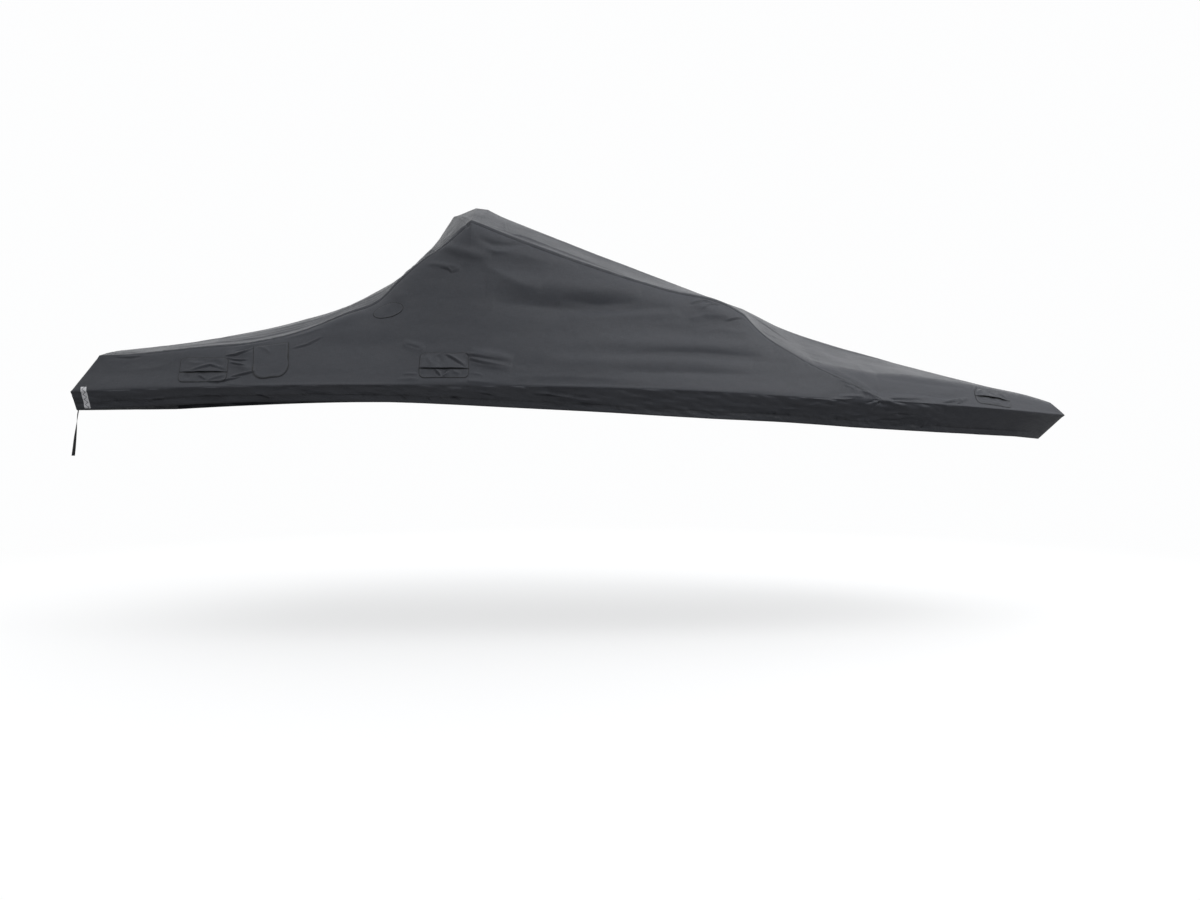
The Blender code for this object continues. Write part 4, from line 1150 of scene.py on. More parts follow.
def gather_hem(cloth, worn, height):
    """Draw a skirt in at its hem's casing, with the puckers that come of it, added to its height."""
    gap = np.broadcast_to(cloth.hem_gap, worn.shape)
    along = cloth.laid[..., 0]
    x = cloth.points[..., 0]
    from_casing = gap - HEM_CASING
    settled = ease(worn.fade * 4.0) * ease((LINES["rail"][-1, 0] - BOW_CLEAR - x) / BOW_FADE)
    rumpled = settled * (CALM_SHARE + (1.0 - CALM_SHARE) * ease((CALM_X - x) / CALM_FADE))
    slanted = stacked(along + 0.45 * gap, gap * 0.6, 0.0)
    for cell, size, seed in GATHERS:
        patchy = 0.6 + 0.4 * lattice_noise(slanted, (0.30, 9.0, 1.0), seed + 5)
        pucker = lattice_noise(slanted, (cell, 0.030, 1.0), seed)
        height += size * patchy * rumpled * pucker * hump(from_casing, GATHER_REACH)
    drawn = stacked(along + 1.2 * gap, gap, 0.0)
    for cell, size, seed in DRAWN:
        height += size * rumpled * lattice_noise(drawn, (cell, 0.024, 1.0), seed) * ease(gap / 0.02)
    reach = np.where(gap > HEM_CASING, gap[:, :1] - HEM_CASING, HEM_CASING)
    height -= CASING_TUCK * settled * np.clip(1.0 - np.abs(from_casing) / reach, 0.0, 1.0)
    height -= CASING_GROOVE * settled * hump(from_casing, CASING_STITCH)
    worn.stitch(np.abs(from_casing + 0.006), along, 0.0)
    # Painted shade along the casing's stitching, and at the hem's lower edge where the roll turns under.
    worn.shade_at(0.8 * hump(from_casing, CASING_STITCH))
    worn.shade_at(0.9 * hump(gap, HEM_SHADE))


def dress(cloth, shared, corners):
    """Move a panel's points out to its folds, and note what its material reads."""
    points = cloth.points
    worn = Dress(cloth)
    for index, seam in enumerate(cloth.seams):
        worn.sew(index, seam, spread_normals(cloth, seam[0], shared))
    at_corner = np.ones(worn.shape)
    for corner in corners:
        at_corner = at_corner * ease(np.linalg.norm(points - corner, axis=-1) / CORNER_FADE)
    height = folded(cloth, worn.fade)
    long_wave = ROOF_WAVE if cloth.kind in ("aft", "fore") else UPRIGHT_WAVE
    for size, cell, seed in (long_wave, *SMALL_WAVES):
        height += worn.fade * size * lattice_noise(points, cell, seed)
    first = cloth.seams[0][1]
    second = cloth.seams[1][1]
    if cloth.kind in ("aft", "fore"):
        sag = table_values(SAGS, 1, points[..., 0])
        height -= sag * ease(np.minimum(first, second) / SAG_REACH)
    if cloth.kind == "side":
        below = np.broadcast_to(second, worn.shape) / ROUNDING_REACH
        rounding = np.interp(points[..., 0], ROUNDING_X, ROUNDING) * ease(first / ROUNDING_CLEAR)
        height += rounding * below * np.exp(1.0 - below)
    if cloth.name in HEMMED:
        gather_hem(cloth, worn, height)
    height = (height + worn.relief) * at_corner
    cloth.normals = unit(worn.normals)
    cloth.final = points + cloth.normals * height[..., None]
    cloth.seam_map = stacked(worn.seam_along, worn.nearest + worn.seam_off)
    cloth.shade = worn.shade
    cloth.wear = worn.wear * (0.55 + 0.45 * lattice_noise(points, (0.05, 0.05, 0.05), 41))


def roll_hem(cloth):
    """Turn the hem's edge in on a small radius and up inside, as far as its stitching."""
    normals = cloth.normals[:, -1]
    downward = unit(cloth.points[:, -1] - cloth.points[:, -4])
    middle = cloth.final[:, -1] - normals * HEM_RADIUS
    extra = []
    for turn in (30.0, 60.0, 90.0, 120.0, 150.0, 180.0):
        angle = math.radians(turn)
        outward = HEM_RADIUS * math.cos(angle)
        down = HEM_RADIUS * math.sin(angle)
        extra.append(middle + normals * outward + downward * down)
    gaps = np.broadcast_to(cloth.hem_gap, cloth.points.shape[:2])
    for rise in (0.012, 0.024, 0.036, HEM_CASING):
        column = int(np.argmin(np.abs(gaps[0] - rise)))
        extra.append(cloth.final[:, column] - cloth.normals[:, column] * 2.0 * HEM_RADIUS)
    extra = np.stack(extra, axis=1)
    if cloth.kind == "skirt":
        extra[..., 1] = np.where(extra[..., 1] * cloth.side < 0.0, 0.0, extra[..., 1])
    count = extra.shape[1]
    cloth.final = np.concatenate((cloth.final, extra), axis=1)

    def extended(array, value):
        return np.concatenate((array, np.full(array.shape[:1] + (count,) + array.shape[2:], value)), axis=1)

    more = cloth.laid[:, -1:, :] + stacked(0.0, np.linspace(0.003, 0.060, count))[None]
    cloth.laid = np.concatenate((cloth.laid, more), axis=1)
    cloth.seam_map = extended(cloth.seam_map, NO_STITCH)
    # The rows rolled in under the hem get painted shade.
    cloth.shade = extended(cloth.shade, 0.3)
    cloth.wear = extended(cloth.wear, 0.0)


def grid_faces(rows, columns):
    first = (np.arange(rows - 1)[:, None] * columns + np.arange(columns - 1)[None, :]).ravel()
    return np.stack((first, first + 1, first + columns + 1, first + columns), axis=-1)


def reshape_mesh(mesh, change):
    """Change a mesh in place by a function of its bmesh."""
    shaped = bmesh.new()
    shaped.from_mesh(mesh)
    change(shaped)
    shaped.to_mesh(mesh)
    shaped.free()


def merge_points(shaped):
    bmesh.ops.remove_doubles(shaped, verts=shaped.verts[:], dist=1e-6)
    flat = [face for face in shaped.faces if face.calc_area() < TINY]
    bmesh.ops.delete(shaped, geom=flat, context="FACES_ONLY")


def close_ends(shaped):
    bmesh.ops.holes_fill(shaped, edges=shaped.edges[:], sides=0)
    face_out(shaped)


def face_out(shaped):
    bmesh.ops.recalc_face_normals(shaped, faces=shaped.faces[:])


def add_item(name, mesh, material):
    mesh.shade_smooth()
    mesh.materials.append(material)
    item = bpy.data.objects.new(name, mesh)
    bpy.context.scene.collection.objects.link(item)
    return item


def make_mesh(name, points, outward, laid, seam_map, material, shade=0.0, wear=0.0, hood_shade=0.0):
    """Mesh object from a grid of points, with the maps and values its material reads."""
    rows, columns = points.shape[:2]
    faces = grid_faces(rows, columns)
    corners = points.reshape(-1, 3)
    first = corners[faces[:, 0]]
    facing = np.cross(corners[faces[:, 1]] - first, corners[faces[:, 3]] - first)
    if (facing @ np.asarray(outward, dtype=float)).sum() < 0.0:
        faces = faces[:, ::-1]
    mesh = bpy.data.meshes.new(name)
    moved = corners - np.array((0.0, 0.0, SEAT_HEIGHT))
    mesh.from_pydata(moved.tolist(), [], faces.tolist())
    loops = faces.ravel()
    for map_name, values in (("cloth", laid), ("seam", seam_map)):
        layer = mesh.uv_layers.new(name=map_name)
        values = values.reshape(-1, 2)[loops]
        layer.data.foreach_set("uv", np.ascontiguousarray(values, dtype=np.float32).ravel())
    # The material darkens the cloth by the first and last of these values as painted shade, and lightens it
    # by the wear.
    for attribute_name, values in (("shade", shade), ("wear", wear), ("hood_shade", hood_shade)):
        attribute = mesh.attributes.new(attribute_name, "FLOAT", "POINT")
        values = np.broadcast_to(values, (rows, columns)).ravel()
        attribute.data.foreach_set("value", np.ascontiguousarray(values, dtype=np.float32))
    reshape_mesh(mesh, merge_points)
    return add_item(name, mesh, material)


def tree_of(points):
    rows, columns = points.shape[:2]
    return BVHTree.FromPolygons(points.reshape(-1, 3).tolist(), grid_faces(rows, columns).tolist())


def blurred(values, passes):
    for _ in range(passes):
        padded = np.pad(values, ((1, 1), (1, 1), (0, 0)), mode="edge")
        beside = padded[:-2, 1:-1] + padded[2:, 1:-1] + padded[1:-1, :-2] + padded[1:-1, 2:]
        values = (beside + 2.0 * values) / 6.0
    return values


def cast_grid(tree, side, x, height):
    """Points and normals of a dressed panel where it is seen at x and height from one side."""
    points = np.zeros(x.shape + (3,))
    normals = np.zeros(x.shape + (3,))
    for place in np.ndindex(x.shape):
        start = Vector((x[place], side * 5.0, height[place]))
        found, normal, _, _ = tree.ray_cast(start, Vector((0.0, -side, 0.0)))
        if found is None:
            raise RuntimeError("a sewn piece runs off its panel")
        if normal.y * side < 0.0:
            normal = -normal
        points[place] = found
        normals[place] = normal
    return points, normals


def bite(radius, reach):
    """How much narrower a rounded corner makes a piece, at a distance from that end."""
    rounded = radius - np.sqrt(np.maximum(radius ** 2 - np.maximum(radius - reach, 0.0) ** 2, 0.0))
    return np.where(reach < radius, rounded, 0.0)


def rounded_half(down, width, height, top_radius, bottom_radius):
    """Half width of a rounded rectangle at distances below its top edge."""
    return width / 2.0 - bite(top_radius, down) - bite(bottom_radius, height - down)


def seen_places(anchor, across, down):
    """x and height, seen from the side, of places across and down from a piece's anchor."""
    x, top, lean = anchor
    return (
        x + across * math.cos(lean) + down * math.sin(lean),
        top + across * math.sin(lean) - down * math.cos(lean),
    )


# A sewn piece: the rise of the puckers along its edge, the gap inside an edge that is turned under,
# the half width of the painted shade line at its edge, where its contact shadow falls, and of the
# worn strip that lies PATCH_WEAR_AT inside.
PATCH_PUCKER = 0.0014
TURNED_GAP = 0.0030
PATCH_SHADE = 0.0045
PATCH_WEAR = 0.006
PATCH_WEAR_AT = 0.007

# Its columns crowd towards its edges by this share, and its places are uneven by the first wave
# across and the second down.
CROWDING = 0.35
UNEVEN = ((0.0030, (0.090, 0.050, 1.0), 81), (0.0024, (0.060, 0.080, 1.0), 82))


class Patch:
    """Grid of places on a sewn piece: "across" and "down" in metres from the middle of its top."""

    def __init__(self, downs, half_of, columns):
        self.down = np.repeat(np.asarray(downs)[:, None], columns, axis=1)
        self.half = half_of(self.down)
        share = np.linspace(-1.0, 1.0, columns)[None, :] * np.ones_like(self.down)
        share = np.sin(share * math.pi / 2.0) * CROWDING + share * (1.0 - CROWDING)
        self.across = share * self.half

    def seen(self, anchor):
        """Places seen from the side, with the slight unevenness of a piece sewn on by hand."""
        places = stacked(self.across + 3.0 * anchor[0], self.down, 0.0)
        across, down = [size * lattice_noise(places, cell, seed) for size, cell, seed in UNEVEN]
        return seen_places(anchor, self.across + across, self.down + down)

    def folds(self, creases):
        places = stacked(self.across, -self.down)
        total = np.zeros_like(self.down)
        for shape, width, rise, *path in creases:
            drawn = in_metres(path) * np.array((1.0, -1.0))
            total += crease_height(places, shape, width / MILLIMETRES, rise / MILLIMETRES, drawn)
        return total

    def waves(self, x, side, size, cell, seed):
        """Slack over the whole piece."""
        return size * lattice_noise(stacked(self.across + x, self.down, side), (*cell, 1.0), seed)

    def puckers(self, side, gap, cell, fall, seed):
        """Puckers beside the sewn edge, which is "gap" away, out to their "fall"."""
        beside = stacked(self.across + self.down, gap * 0.2, side)
        pucker = lattice_noise(beside, (cell, 0.05, 1.0), seed)
        return PATCH_PUCKER * pucker * ease(gap / 0.008) * hump(gap, fall)


def sew_patch(name, tree, side, anchor, patch, lift, rim, material, turned=0, mouth=0.0):
    """Fine piece laid over a dressed panel. "rim" is each place's distance from its sewn edge.

    "turned" is how many rows are turned under at its free edge, and "mouth" the painted shade of each
    place in a vent's mouth, where the hood's shadow falls, from 0 to 1.
    """
    x, height = patch.seen(anchor)
    points, normals = cast_grid(tree, side, x, height)
    normals = blurred(normals, 6)
    normals = unit(normals + unit(normals.mean(axis=(0, 1))))
    final = points + normals * lift[..., None]
    laid = stacked(patch.across, patch.down)
    seam_map = stacked(patch.across + patch.down, rim)
    # Painted shade along the sewn edge, for its contact shadow.
    shade = 2.0 * hump(rim, PATCH_SHADE)
    wear = 0.6 * hump(rim - PATCH_WEAR_AT, PATCH_WEAR)
    # Painted shade in a vent's mouth, and full painted shade on the hood's turned-under rows.
    hood_shade = np.zeros_like(rim) + mouth
    if turned:
        back = slice(None, -turned - 2, -1)
        final = np.concatenate((final, final[back] - normals[back] * TURNED_GAP))
        laid = np.concatenate((laid, laid[back]))
        seam_map = np.concatenate((seam_map, np.full_like(seam_map[back], NO_STITCH)))
        shade = np.concatenate((shade, shade[back]))
        wear = np.concatenate((wear, np.zeros_like(wear[back])))
        hood_shade = np.concatenate((hood_shade, np.ones_like(hood_shade[back])))
    return make_mesh(name, final, (0.0, side, 0.2), laid, seam_map, material, shade, wear, hood_shade)


# Creases of the sewn pieces: shape, width, rise and path, in millimetres on the piece itself, across
# from its middle line and down from its top edge. All of them die out at both ends.
HOOD_CREASES = {
    "mid": [
        ("tuck", 13, 5, 0, 8, 60, 40, 140, 92),
        ("ridge", 16, 3, -120, 30, -90, 60, -80, 90),
        ("groove", 18, 3, -40, 20, -20, 60, -30, 98),
    ],
    "aft": [
        ("tuck", 12, 4.5, -85, 96, 45, 57, 150, 90),
        ("ridge", 14, 3.5, -110, 30, -60, 44, 0, 40),
        ("groove", 16, 3, 60, 20, 90, 45, 130, 60),
    ],
    "bow": [
        ("ridge", 12, 3.5, -130, 40, -105, 22, -80, 6),
        ("tuck", 10, 3.5, 60, 10, 90, 26, 125, 44),
        ("groove", 16, 2.5, -40, 12, 0, 30, 30, 48),
    ],
}
FLAP_CREASES = {
    "mid": [
        ("tuck", 10, 5.2, -60, 116, -20, 160),
        ("tuck", 10, 4.8, 30, 123, -10, 162),
        ("ridge", 12, 3, 60, 128, 110, 140),
    ],
    "aft": [
        ("tuck", 10, 3.6, -25, 125, 25, 153),
        ("ridge", 12, 4, 35, 158, 90, 138, 155, 120),
        ("groove", 12, 3, -120, 120, -80, 145),
    ],
    "bow": [
        ("ridge", 10, 2.8, -60, 70, 0, 90, 70, 86),
        ("groove", 10, 2.2, -120, 64, -60, 84),
    ],
}

# How much stronger these are sewn than drawn, and how far below the hood the mouth's painted shade reaches.
HOOD_FOLD = 1.55
FLAP_FOLD = 1.80
MOUTH_SHADE_START = 0.003
MOUTH_SHADE_FADE = 0.007

# Slack of the sewn pieces: a wave's height, its cell across and down, and its seed. Folds and waves
# come in over the SETTLE distance from the sewn edge. Puckers: cell, reach from the edge, and seed.
HOOD_WAVES = ((0.0022, (0.060, 0.045), 51), (0.0009, (0.024, 0.020), 52))
HOOD_SETTLE = 0.018
HOOD_PUCKERS = (0.018, 0.025, 53)
FLAP_WAVE = (0.0016, (0.050, 0.030), 54)
FLAP_SETTLE = 0.014
FLAP_PUCKERS = (0.016, 0.022, 55)

# How far each hood stands open, as a share of its solid.
OPENING = {"mid": 1.0, "aft": 0.80, "bow": 0.60}

# A sewn piece comes up off its panel by RIM_STEP within RIM_WIDTH of its edge, and its rows are at
# most FINE_STEP apart.
RIM_STEP = 0.0026
RIM_WIDTH = 0.0019
LEAST_LIFT = 0.0003
FINE_STEP = 0.0045


def rim_gap(across, down, width, height, radius, end):
    """Distance inward from the sewn edge of a rounded piece. "end" is the end that is rounded."""
    beyond = radius - down if end == "top" else down - (height - radius)
    q = stacked(np.abs(across) - (width / 2.0 - radius), beyond)
    outside = np.linalg.norm(np.maximum(q, 0.0), axis=-1) + np.minimum(q.max(axis=-1), 0.0) - radius
    return np.maximum(-outside, 0.0)


def rim_lift(gap):
    return RIM_STEP * ease(gap / RIM_WIDTH)


def steps_between(start, end, step=FINE_STEP):
    return np.linspace(start, end, max(int(math.ceil((end - start) / step)) + 1, 4))


def seated_steps(start, end, fine_start, fine_end):
    """Distances with extra rows close to an edge that is sewn down."""
    rows = list(steps_between(start, end))
    for extra in (0.0008, 0.0016, 0.0028):
        if fine_start:
            rows.append(start + extra)
        if fine_end:
            rows.append(end - extra)
    return np.array(sorted(rows))


def sew_vent_pieces(row, label, side, tree, material):
    name, _, x, top, width, height, lean, slit, mouth = row
    split = height * slit
    anchor = (x, top, lean)
    columns = 96
    suffix = name + "_" + label

    def half_of(down):
        return rounded_half(down, width, height, VENT_CORNER, VENT_CORNER)

    hood = Patch(seated_steps(0.0, split, True, False), half_of, columns)
    gap = rim_gap(hood.across, hood.down, width, height, VENT_CORNER, "top")
    share = np.clip(np.abs(hood.across) / hood.half, 0.0, 1.0)
    belly = mouth * OPENING[name] * (1.0 - share ** HOOD_FULLNESS) * (hood.down / split) ** HOOD_FLARE
    settle = ease(gap / HOOD_SETTLE)
    lift = rim_lift(gap) + belly + settle * HOOD_FOLD * hood.folds(HOOD_CREASES[name])
    for size, cell, seed in HOOD_WAVES:
        lift += hood.waves(x, side, settle * size, cell, seed)
    lift = np.maximum(lift + hood.puckers(side, gap, *HOOD_PUCKERS), LEAST_LIFT)
    turned = 4
    hood_item = sew_patch("cloth_hood_" + suffix, tree, side, anchor, hood, lift, gap, material, turned)

    flap = Patch(seated_steps(split - VENT_TUCK, height, False, True), half_of, columns)
    gap = rim_gap(flap.across, flap.down, width, height, VENT_CORNER, "bottom")
    share = np.clip(np.abs(flap.across) / flap.half, 0.0, 1.0)
    rest = np.clip((height - flap.down) / (height - split), 0.0, 1.0)
    ridges = 0.5 - 0.5 * np.cos(math.tau * FLAP_RIDGES * share)
    settle = ease(gap / FLAP_SETTLE)
    lift = rim_lift(gap) + FLAP_LIFT * (1.0 - share ** 2) * rest * (0.5 + ridges) * 0.7
    lift += settle * FLAP_FOLD * flap.folds(FLAP_CREASES[name])
    lift += flap.waves(x, side, settle * FLAP_WAVE[0], *FLAP_WAVE[1:])
    lift = np.maximum(lift + flap.puckers(side, gap, *FLAP_PUCKERS), LEAST_LIFT)
    # Under the hood it stays below the hood's own lift, and painted shade darkens it towards the mouth,
    # where the hood's shadow falls.
    ceiling = 0.35 * mouth * OPENING[name] * (1.0 - share ** HOOD_FULLNESS) + 0.0008
    under_hood = ease((split - flap.down) / VENT_TUCK + 0.5)
    lift = lift * (1.0 - under_hood) + np.minimum(lift, ceiling) * under_hood
    deep = 1.0 - ease((flap.down - split - MOUTH_SHADE_START) / MOUTH_SHADE_FADE)
    flap_item = sew_patch("cloth_flap_" + suffix, tree, side, anchor, flap, lift, gap, material, 0, deep)
    return {"vent_hood_" + suffix: hood_item, "vent_flap_" + suffix: flap_item}


def sew_access(label, side, tree, material, piping_material):
    def half_of(down):
        return rounded_half(down, FLAP_WIDTH, FLAP_HEIGHT, FLAP_TOP_RADIUS, FLAP_RADIUS)

    anchor = (FLAP_X, FLAP_TOP, FLAP_LEAN)
    patch = Patch(seated_steps(0.0, FLAP_HEIGHT, True, True), half_of, 72)
    gap = rim_gap(patch.across, patch.down, FLAP_WIDTH, FLAP_HEIGHT, FLAP_RADIUS, "bottom")
    gap = np.minimum(gap, patch.down + 0.0006)
    lift = rim_lift(gap) + 0.0004
    lift += patch.waves(0.0, side, ease(gap / 0.030) * 0.0020, (0.090, 0.070), 61)
    lift += ease(gap / 0.012) * 0.0012 * hump(gap - 0.012, 0.006)
    flap = sew_patch("cloth_access_flap_" + label, tree, side, anchor, patch, lift, gap, material)

    # The cord starts just above one lower corner, and runs round the bottom and up the other edge.
    straight = FLAP_HEIGHT - FLAP_RADIUS
    rows = steps_between(0.004, straight, 0.006)
    outline = [(-FLAP_WIDTH / 2.0, down) for down in rows[-4:]]
    for turn in np.linspace(0.0, 90.0, 14)[1:]:
        angle = math.radians(turn)
        across = -FLAP_WIDTH / 2.0 + FLAP_RADIUS * (1.0 - math.cos(angle))
        outline.append((across, straight + FLAP_RADIUS * math.sin(angle)))
    whole = [(-FLAP_WIDTH / 2.0, down) for down in rows[:-4]] + outline
    outline = np.array(outline + [(-across, down) for across, down in reversed(whole)])
    points, normals = cast_grid(tree, side, *seen_places(anchor, outline[:, 0], outline[:, 1]))
    normals = unit(normals.mean(axis=0))[None, :] * np.ones_like(points)
    centres = points + normals * (PIPING_RADIUS * 0.7)
    return flap, tube("cloth_piping_" + label, centres, normals, PIPING_RADIUS, piping_material)


def tube(name, centres, normals, radius, material):
    """Round cord along a line of centres, closed at its ends."""
    along = unit(np.gradient(centres, axis=0))
    across = unit(np.cross(along, normals))
    lifted = np.cross(across, along)
    rings = []
    for step in range(TUBE_SIDES):
        angle = math.tau * step / TUBE_SIDES
        rings.append(centres + across * (radius * math.cos(angle)) + lifted * (radius * math.sin(angle)))
    corners = np.stack(rings, axis=1).reshape(-1, 3) - np.array((0.0, 0.0, SEAT_HEIGHT))
    faces = []
    for row in range(0, len(corners) - TUBE_SIDES, TUBE_SIDES):
        for step in range(TUBE_SIDES):
            beside = (step + 1) % TUBE_SIDES
            faces.append((row + step, row + beside, row + TUBE_SIDES + beside, row + TUBE_SIDES + step))
    faces.append(tuple(range(TUBE_SIDES)))
    faces.append(tuple(reversed(range(len(corners) - TUBE_SIDES, len(corners)))))
    mesh = bpy.data.meshes.new(name)
    mesh.from_pydata(corners.tolist(), [], faces)
    reshape_mesh(mesh, face_out)
    return add_item(name, mesh, material)


def sew_oval(label, side, tree, material):
    def half_of(down):
        middle = 2.0 * down / OVAL_HEIGHT - 1.0
        half = OVAL_WIDTH / 2.0 * np.sqrt(np.maximum(1.0 - middle * middle, 0.0))
        return np.maximum(half, OVAL_WIDTH * OVAL_BLUNT)

    turns = np.linspace(0.0, math.pi, 40)
    patch = Patch(OVAL_HEIGHT * (0.5 - 0.5 * np.cos(turns)), half_of, 64)
    upright = 2.0 * patch.down / OVAL_HEIGHT - 1.0
    radial = np.sqrt((patch.across / (OVAL_WIDTH / 2.0)) ** 2 + upright ** 2)
    slope = np.sqrt((2.0 * patch.across / OVAL_WIDTH ** 2 * 2.0) ** 2 + (upright * 2.0 / OVAL_HEIGHT) ** 2)
    gap = np.maximum(1.0 - radial, 0.0) / np.maximum(slope / np.maximum(radial, 0.2), 1.0)
    rise = rim_lift(gap) * 0.9 + 0.0004
    rise += patch.waves(0.0, side, ease(gap / 0.012) * 0.0012, (0.050, 0.035), 71)
    anchor = (OVAL_X, OVAL_TOP, OVAL_LEAN)
    return sew_patch("cloth_oval_" + label, tree, side, anchor, patch, rise, gap, material)


# The tape stands TAPE_LIFT off the panel at its edge, and TAPE_STEP more within TAPE_RIM of it.
TAPE_LIFT = 0.0007
TAPE_STEP = 0.0013
TAPE_RIM = 0.0015


def sew_tape(label, side, tree, material):
    low = curve_value(HEM, 2, TAPE_X) + TAPE_END
    heights = steps_between(low, TAPE_TOP, 0.003)[::-1]
    down, across = np.meshgrid(TAPE_TOP - heights, np.linspace(-0.5, 0.5, 15) * TAPE_WIDTH, indexing="ij")
    points, normals = cast_grid(tree, side, TAPE_X + across + down * TAPE_LEAN, TAPE_TOP - down)
    normals = unit(blurred(normals, 8))
    points = blurred(points, 2)
    gap = np.minimum(TAPE_WIDTH / 2.0 - np.abs(across), np.minimum(down, TAPE_TOP - low - down))
    points = points + normals * (TAPE_LIFT + TAPE_STEP * ease(gap / TAPE_RIM))[..., None]
    return make_mesh(
        "tape_" + label, points, (0.0, side, 0.0), stacked(across, down), stacked(down, gap), material
    )


def hang_tie(skirt, material):
    """Webbing tie, sewn inside the stern hem and twisting as it hangs."""
    tree = tree_of(skirt.final)
    path = []
    for height in TIE_SEWN:
        point, normal, _, _ = tree.ray_cast(Vector((-5.0, TIE_Y, height)), Vector((1.0, 0.0, 0.0)))
        if normal.x > 0.0:
            normal = -normal
        place = point - normal * TIE_BEHIND
        path.append((place.x, place.y, place.z, math.degrees(math.atan2(normal.y, -normal.x))))
    path = np.array(path + TIE_PATH)
    lengths = run_lengths(path[:, :3])
    fine = np.linspace(0.0, lengths[-1], TIE_ROWS)
    places = np.stack([np.interp(fine, lengths, path[:, column]) for column in range(4)], axis=-1)
    for _ in range(TIE_SMOOTHINGS):
        places[1:-1] = (places[:-2] + 2.0 * places[1:-1] + places[2:]) / 4.0
    turns = np.radians(places[:, 3])
    across = stacked(np.sin(turns), np.cos(turns), 0.0)[:, None, :]
    through = stacked(np.cos(turns), -np.sin(turns), 0.0)[:, None, :]
    shares = np.array((-0.5, -0.46, -0.2, 0.0, 0.2, 0.46, 0.5))
    thick = np.array((0.55, 1.0, 1.0, 1.0, 1.0, 1.0, 0.55)) * TIE_THICKNESS / 2.0
    middle = places[:, None, :3] + across * (shares * TIE_WIDTH)[None, :, None]
    front = middle - through * thick[None, :, None]
    back = middle + through * thick[None, :, None]
    around = np.concatenate((front, back[:, ::-1], front[:, :1]), axis=1)
    spans = np.concatenate((shares, shares[::-1] + 1.2, shares[:1])) * TIE_WIDTH
    laid = stacked(spans, fine[:, None])
    item = make_mesh("webbing_tie", around, (0.0, 0.0, 0.0), laid, laid + 2.0, material)
    reshape_mesh(item.data, close_ends)
    return item


class Nodes:
    """Short way to add and join shader nodes in a node tree."""

    def __init__(self, tree):
        self.tree = tree

    def add(self, kind, settings=None, **sockets):
        """Add a node with its settings, and feed its sockets, by name or as i0, i1 and so on."""
        node = self.tree.nodes.new(kind)
        for key, value in (settings or {}).items():
            setattr(node, key, value)
        for key, value in sockets.items():
            self.feed(node.inputs[int(key[1:])] if key[1:].isdigit() else node.inputs[key], value)
        return node

    def feed(self, socket, value):
        if isinstance(value, bpy.types.NodeSocket):
            self.tree.links.new(value, socket)
        else:
            socket.default_value = value

    def coat(self, **inputs):
        """Feed the surface shader's own sockets, with underscores for the spaces in their names."""
        surface = self.tree.nodes["Principled BSDF"]
        for name, value in inputs.items():
            self.feed(surface.inputs[name.replace("_", " ")], value)

    def math(self, operation, first, second=0.0, third=0.0):
        return self.add("ShaderNodeMath", {"operation": operation}, i0=first, i1=second, i2=third).outputs[0]

    def plus(self, first, second):
        return self.math("ADD", first, second)

    def times(self, first, second):
        return self.math("MULTIPLY", first, second)

    def scaled_plus(self, value, factor, more):
        return self.math("MULTIPLY_ADD", value, factor, more)

    def gap(self, first, second):
        return self.math("ABSOLUTE", self.math("SUBTRACT", first, second))

    def uv(self, name):
        return self.add("ShaderNodeUVMap", {"uv_map": name}).outputs[0]

    def value_of(self, name):
        return self.add("ShaderNodeAttribute", {"attribute_name": name}).outputs["Fac"]

    def place(self):
        return self.add("ShaderNodeTexCoord").outputs["Object"]

    def split(self, vector):
        outputs = self.add("ShaderNodeSeparateXYZ", None, i0=vector).outputs
        return outputs[0], outputs[1]

    def noise(self, vector, scale, detail, roughness=0.5):
        sockets = {"Vector": vector, "Scale": scale, "Detail": detail, "Roughness": roughness}
        return self.add("ShaderNodeTexNoise", None, **sockets).outputs[0]

    def stretched_noise(self, vector, scale, detail, roughness=0.5):
        mapped = self.add("ShaderNodeMapping", None, Vector=vector, Scale=scale).outputs[0]
        return self.noise(mapped, 1.0, detail, roughness)

    def ramp(self, value, low, high, start=0.0, end=1.0):
        node = self.add("ShaderNodeMapRange", {"interpolation_type": "SMOOTHSTEP"}, Value=value)
        for name, limit in (("From Min", low), ("From Max", high), ("To Min", start), ("To Max", end)):
            node.inputs[name].default_value = limit
        return node.outputs[0]

    def tinted(self, factor, first, second):
        return self.add("ShaderNodeMix", {"data_type": "RGBA"}, i0=factor, i6=first, i7=second).outputs[2]

    def scaled(self, colour, factor):
        return self.add("ShaderNodeVectorMath", {"operation": "SCALE"}, i0=colour, Scale=factor).outputs[0]

    def bump(self, height, strength, distance, **below):
        """Normal over a height, on top of the Normal given as "below"."""
        node = self.add("ShaderNodeBump", None, Strength=strength, Distance=distance, Height=height, **below)
        return node.outputs[0]


def material_nodes(name):
    material = bpy.data.materials.new(name)
    material.use_nodes = True
    return material, Nodes(material.node_tree)


# The cloth's weave and its stitching: the width of a thread's place in the weave, the length of a
# stitch, the distances of the two rows of stitches from a seam, and half the width of the thread.
WEAVE = 0.0016
TAPE_WEAVE = 0.0011
WEBBING_WEAVE = 0.0014
STITCH = 0.0060
STITCH_ROWS = (0.0062, 0.0105)
THREAD = 0.0006

# The tape's plain zigzag: the length of one zigzag, and its swing to each side.
ZIGZAG = 0.034
ZIGZAG_SWING = 0.011
WEBBING_RIB = 0.0044

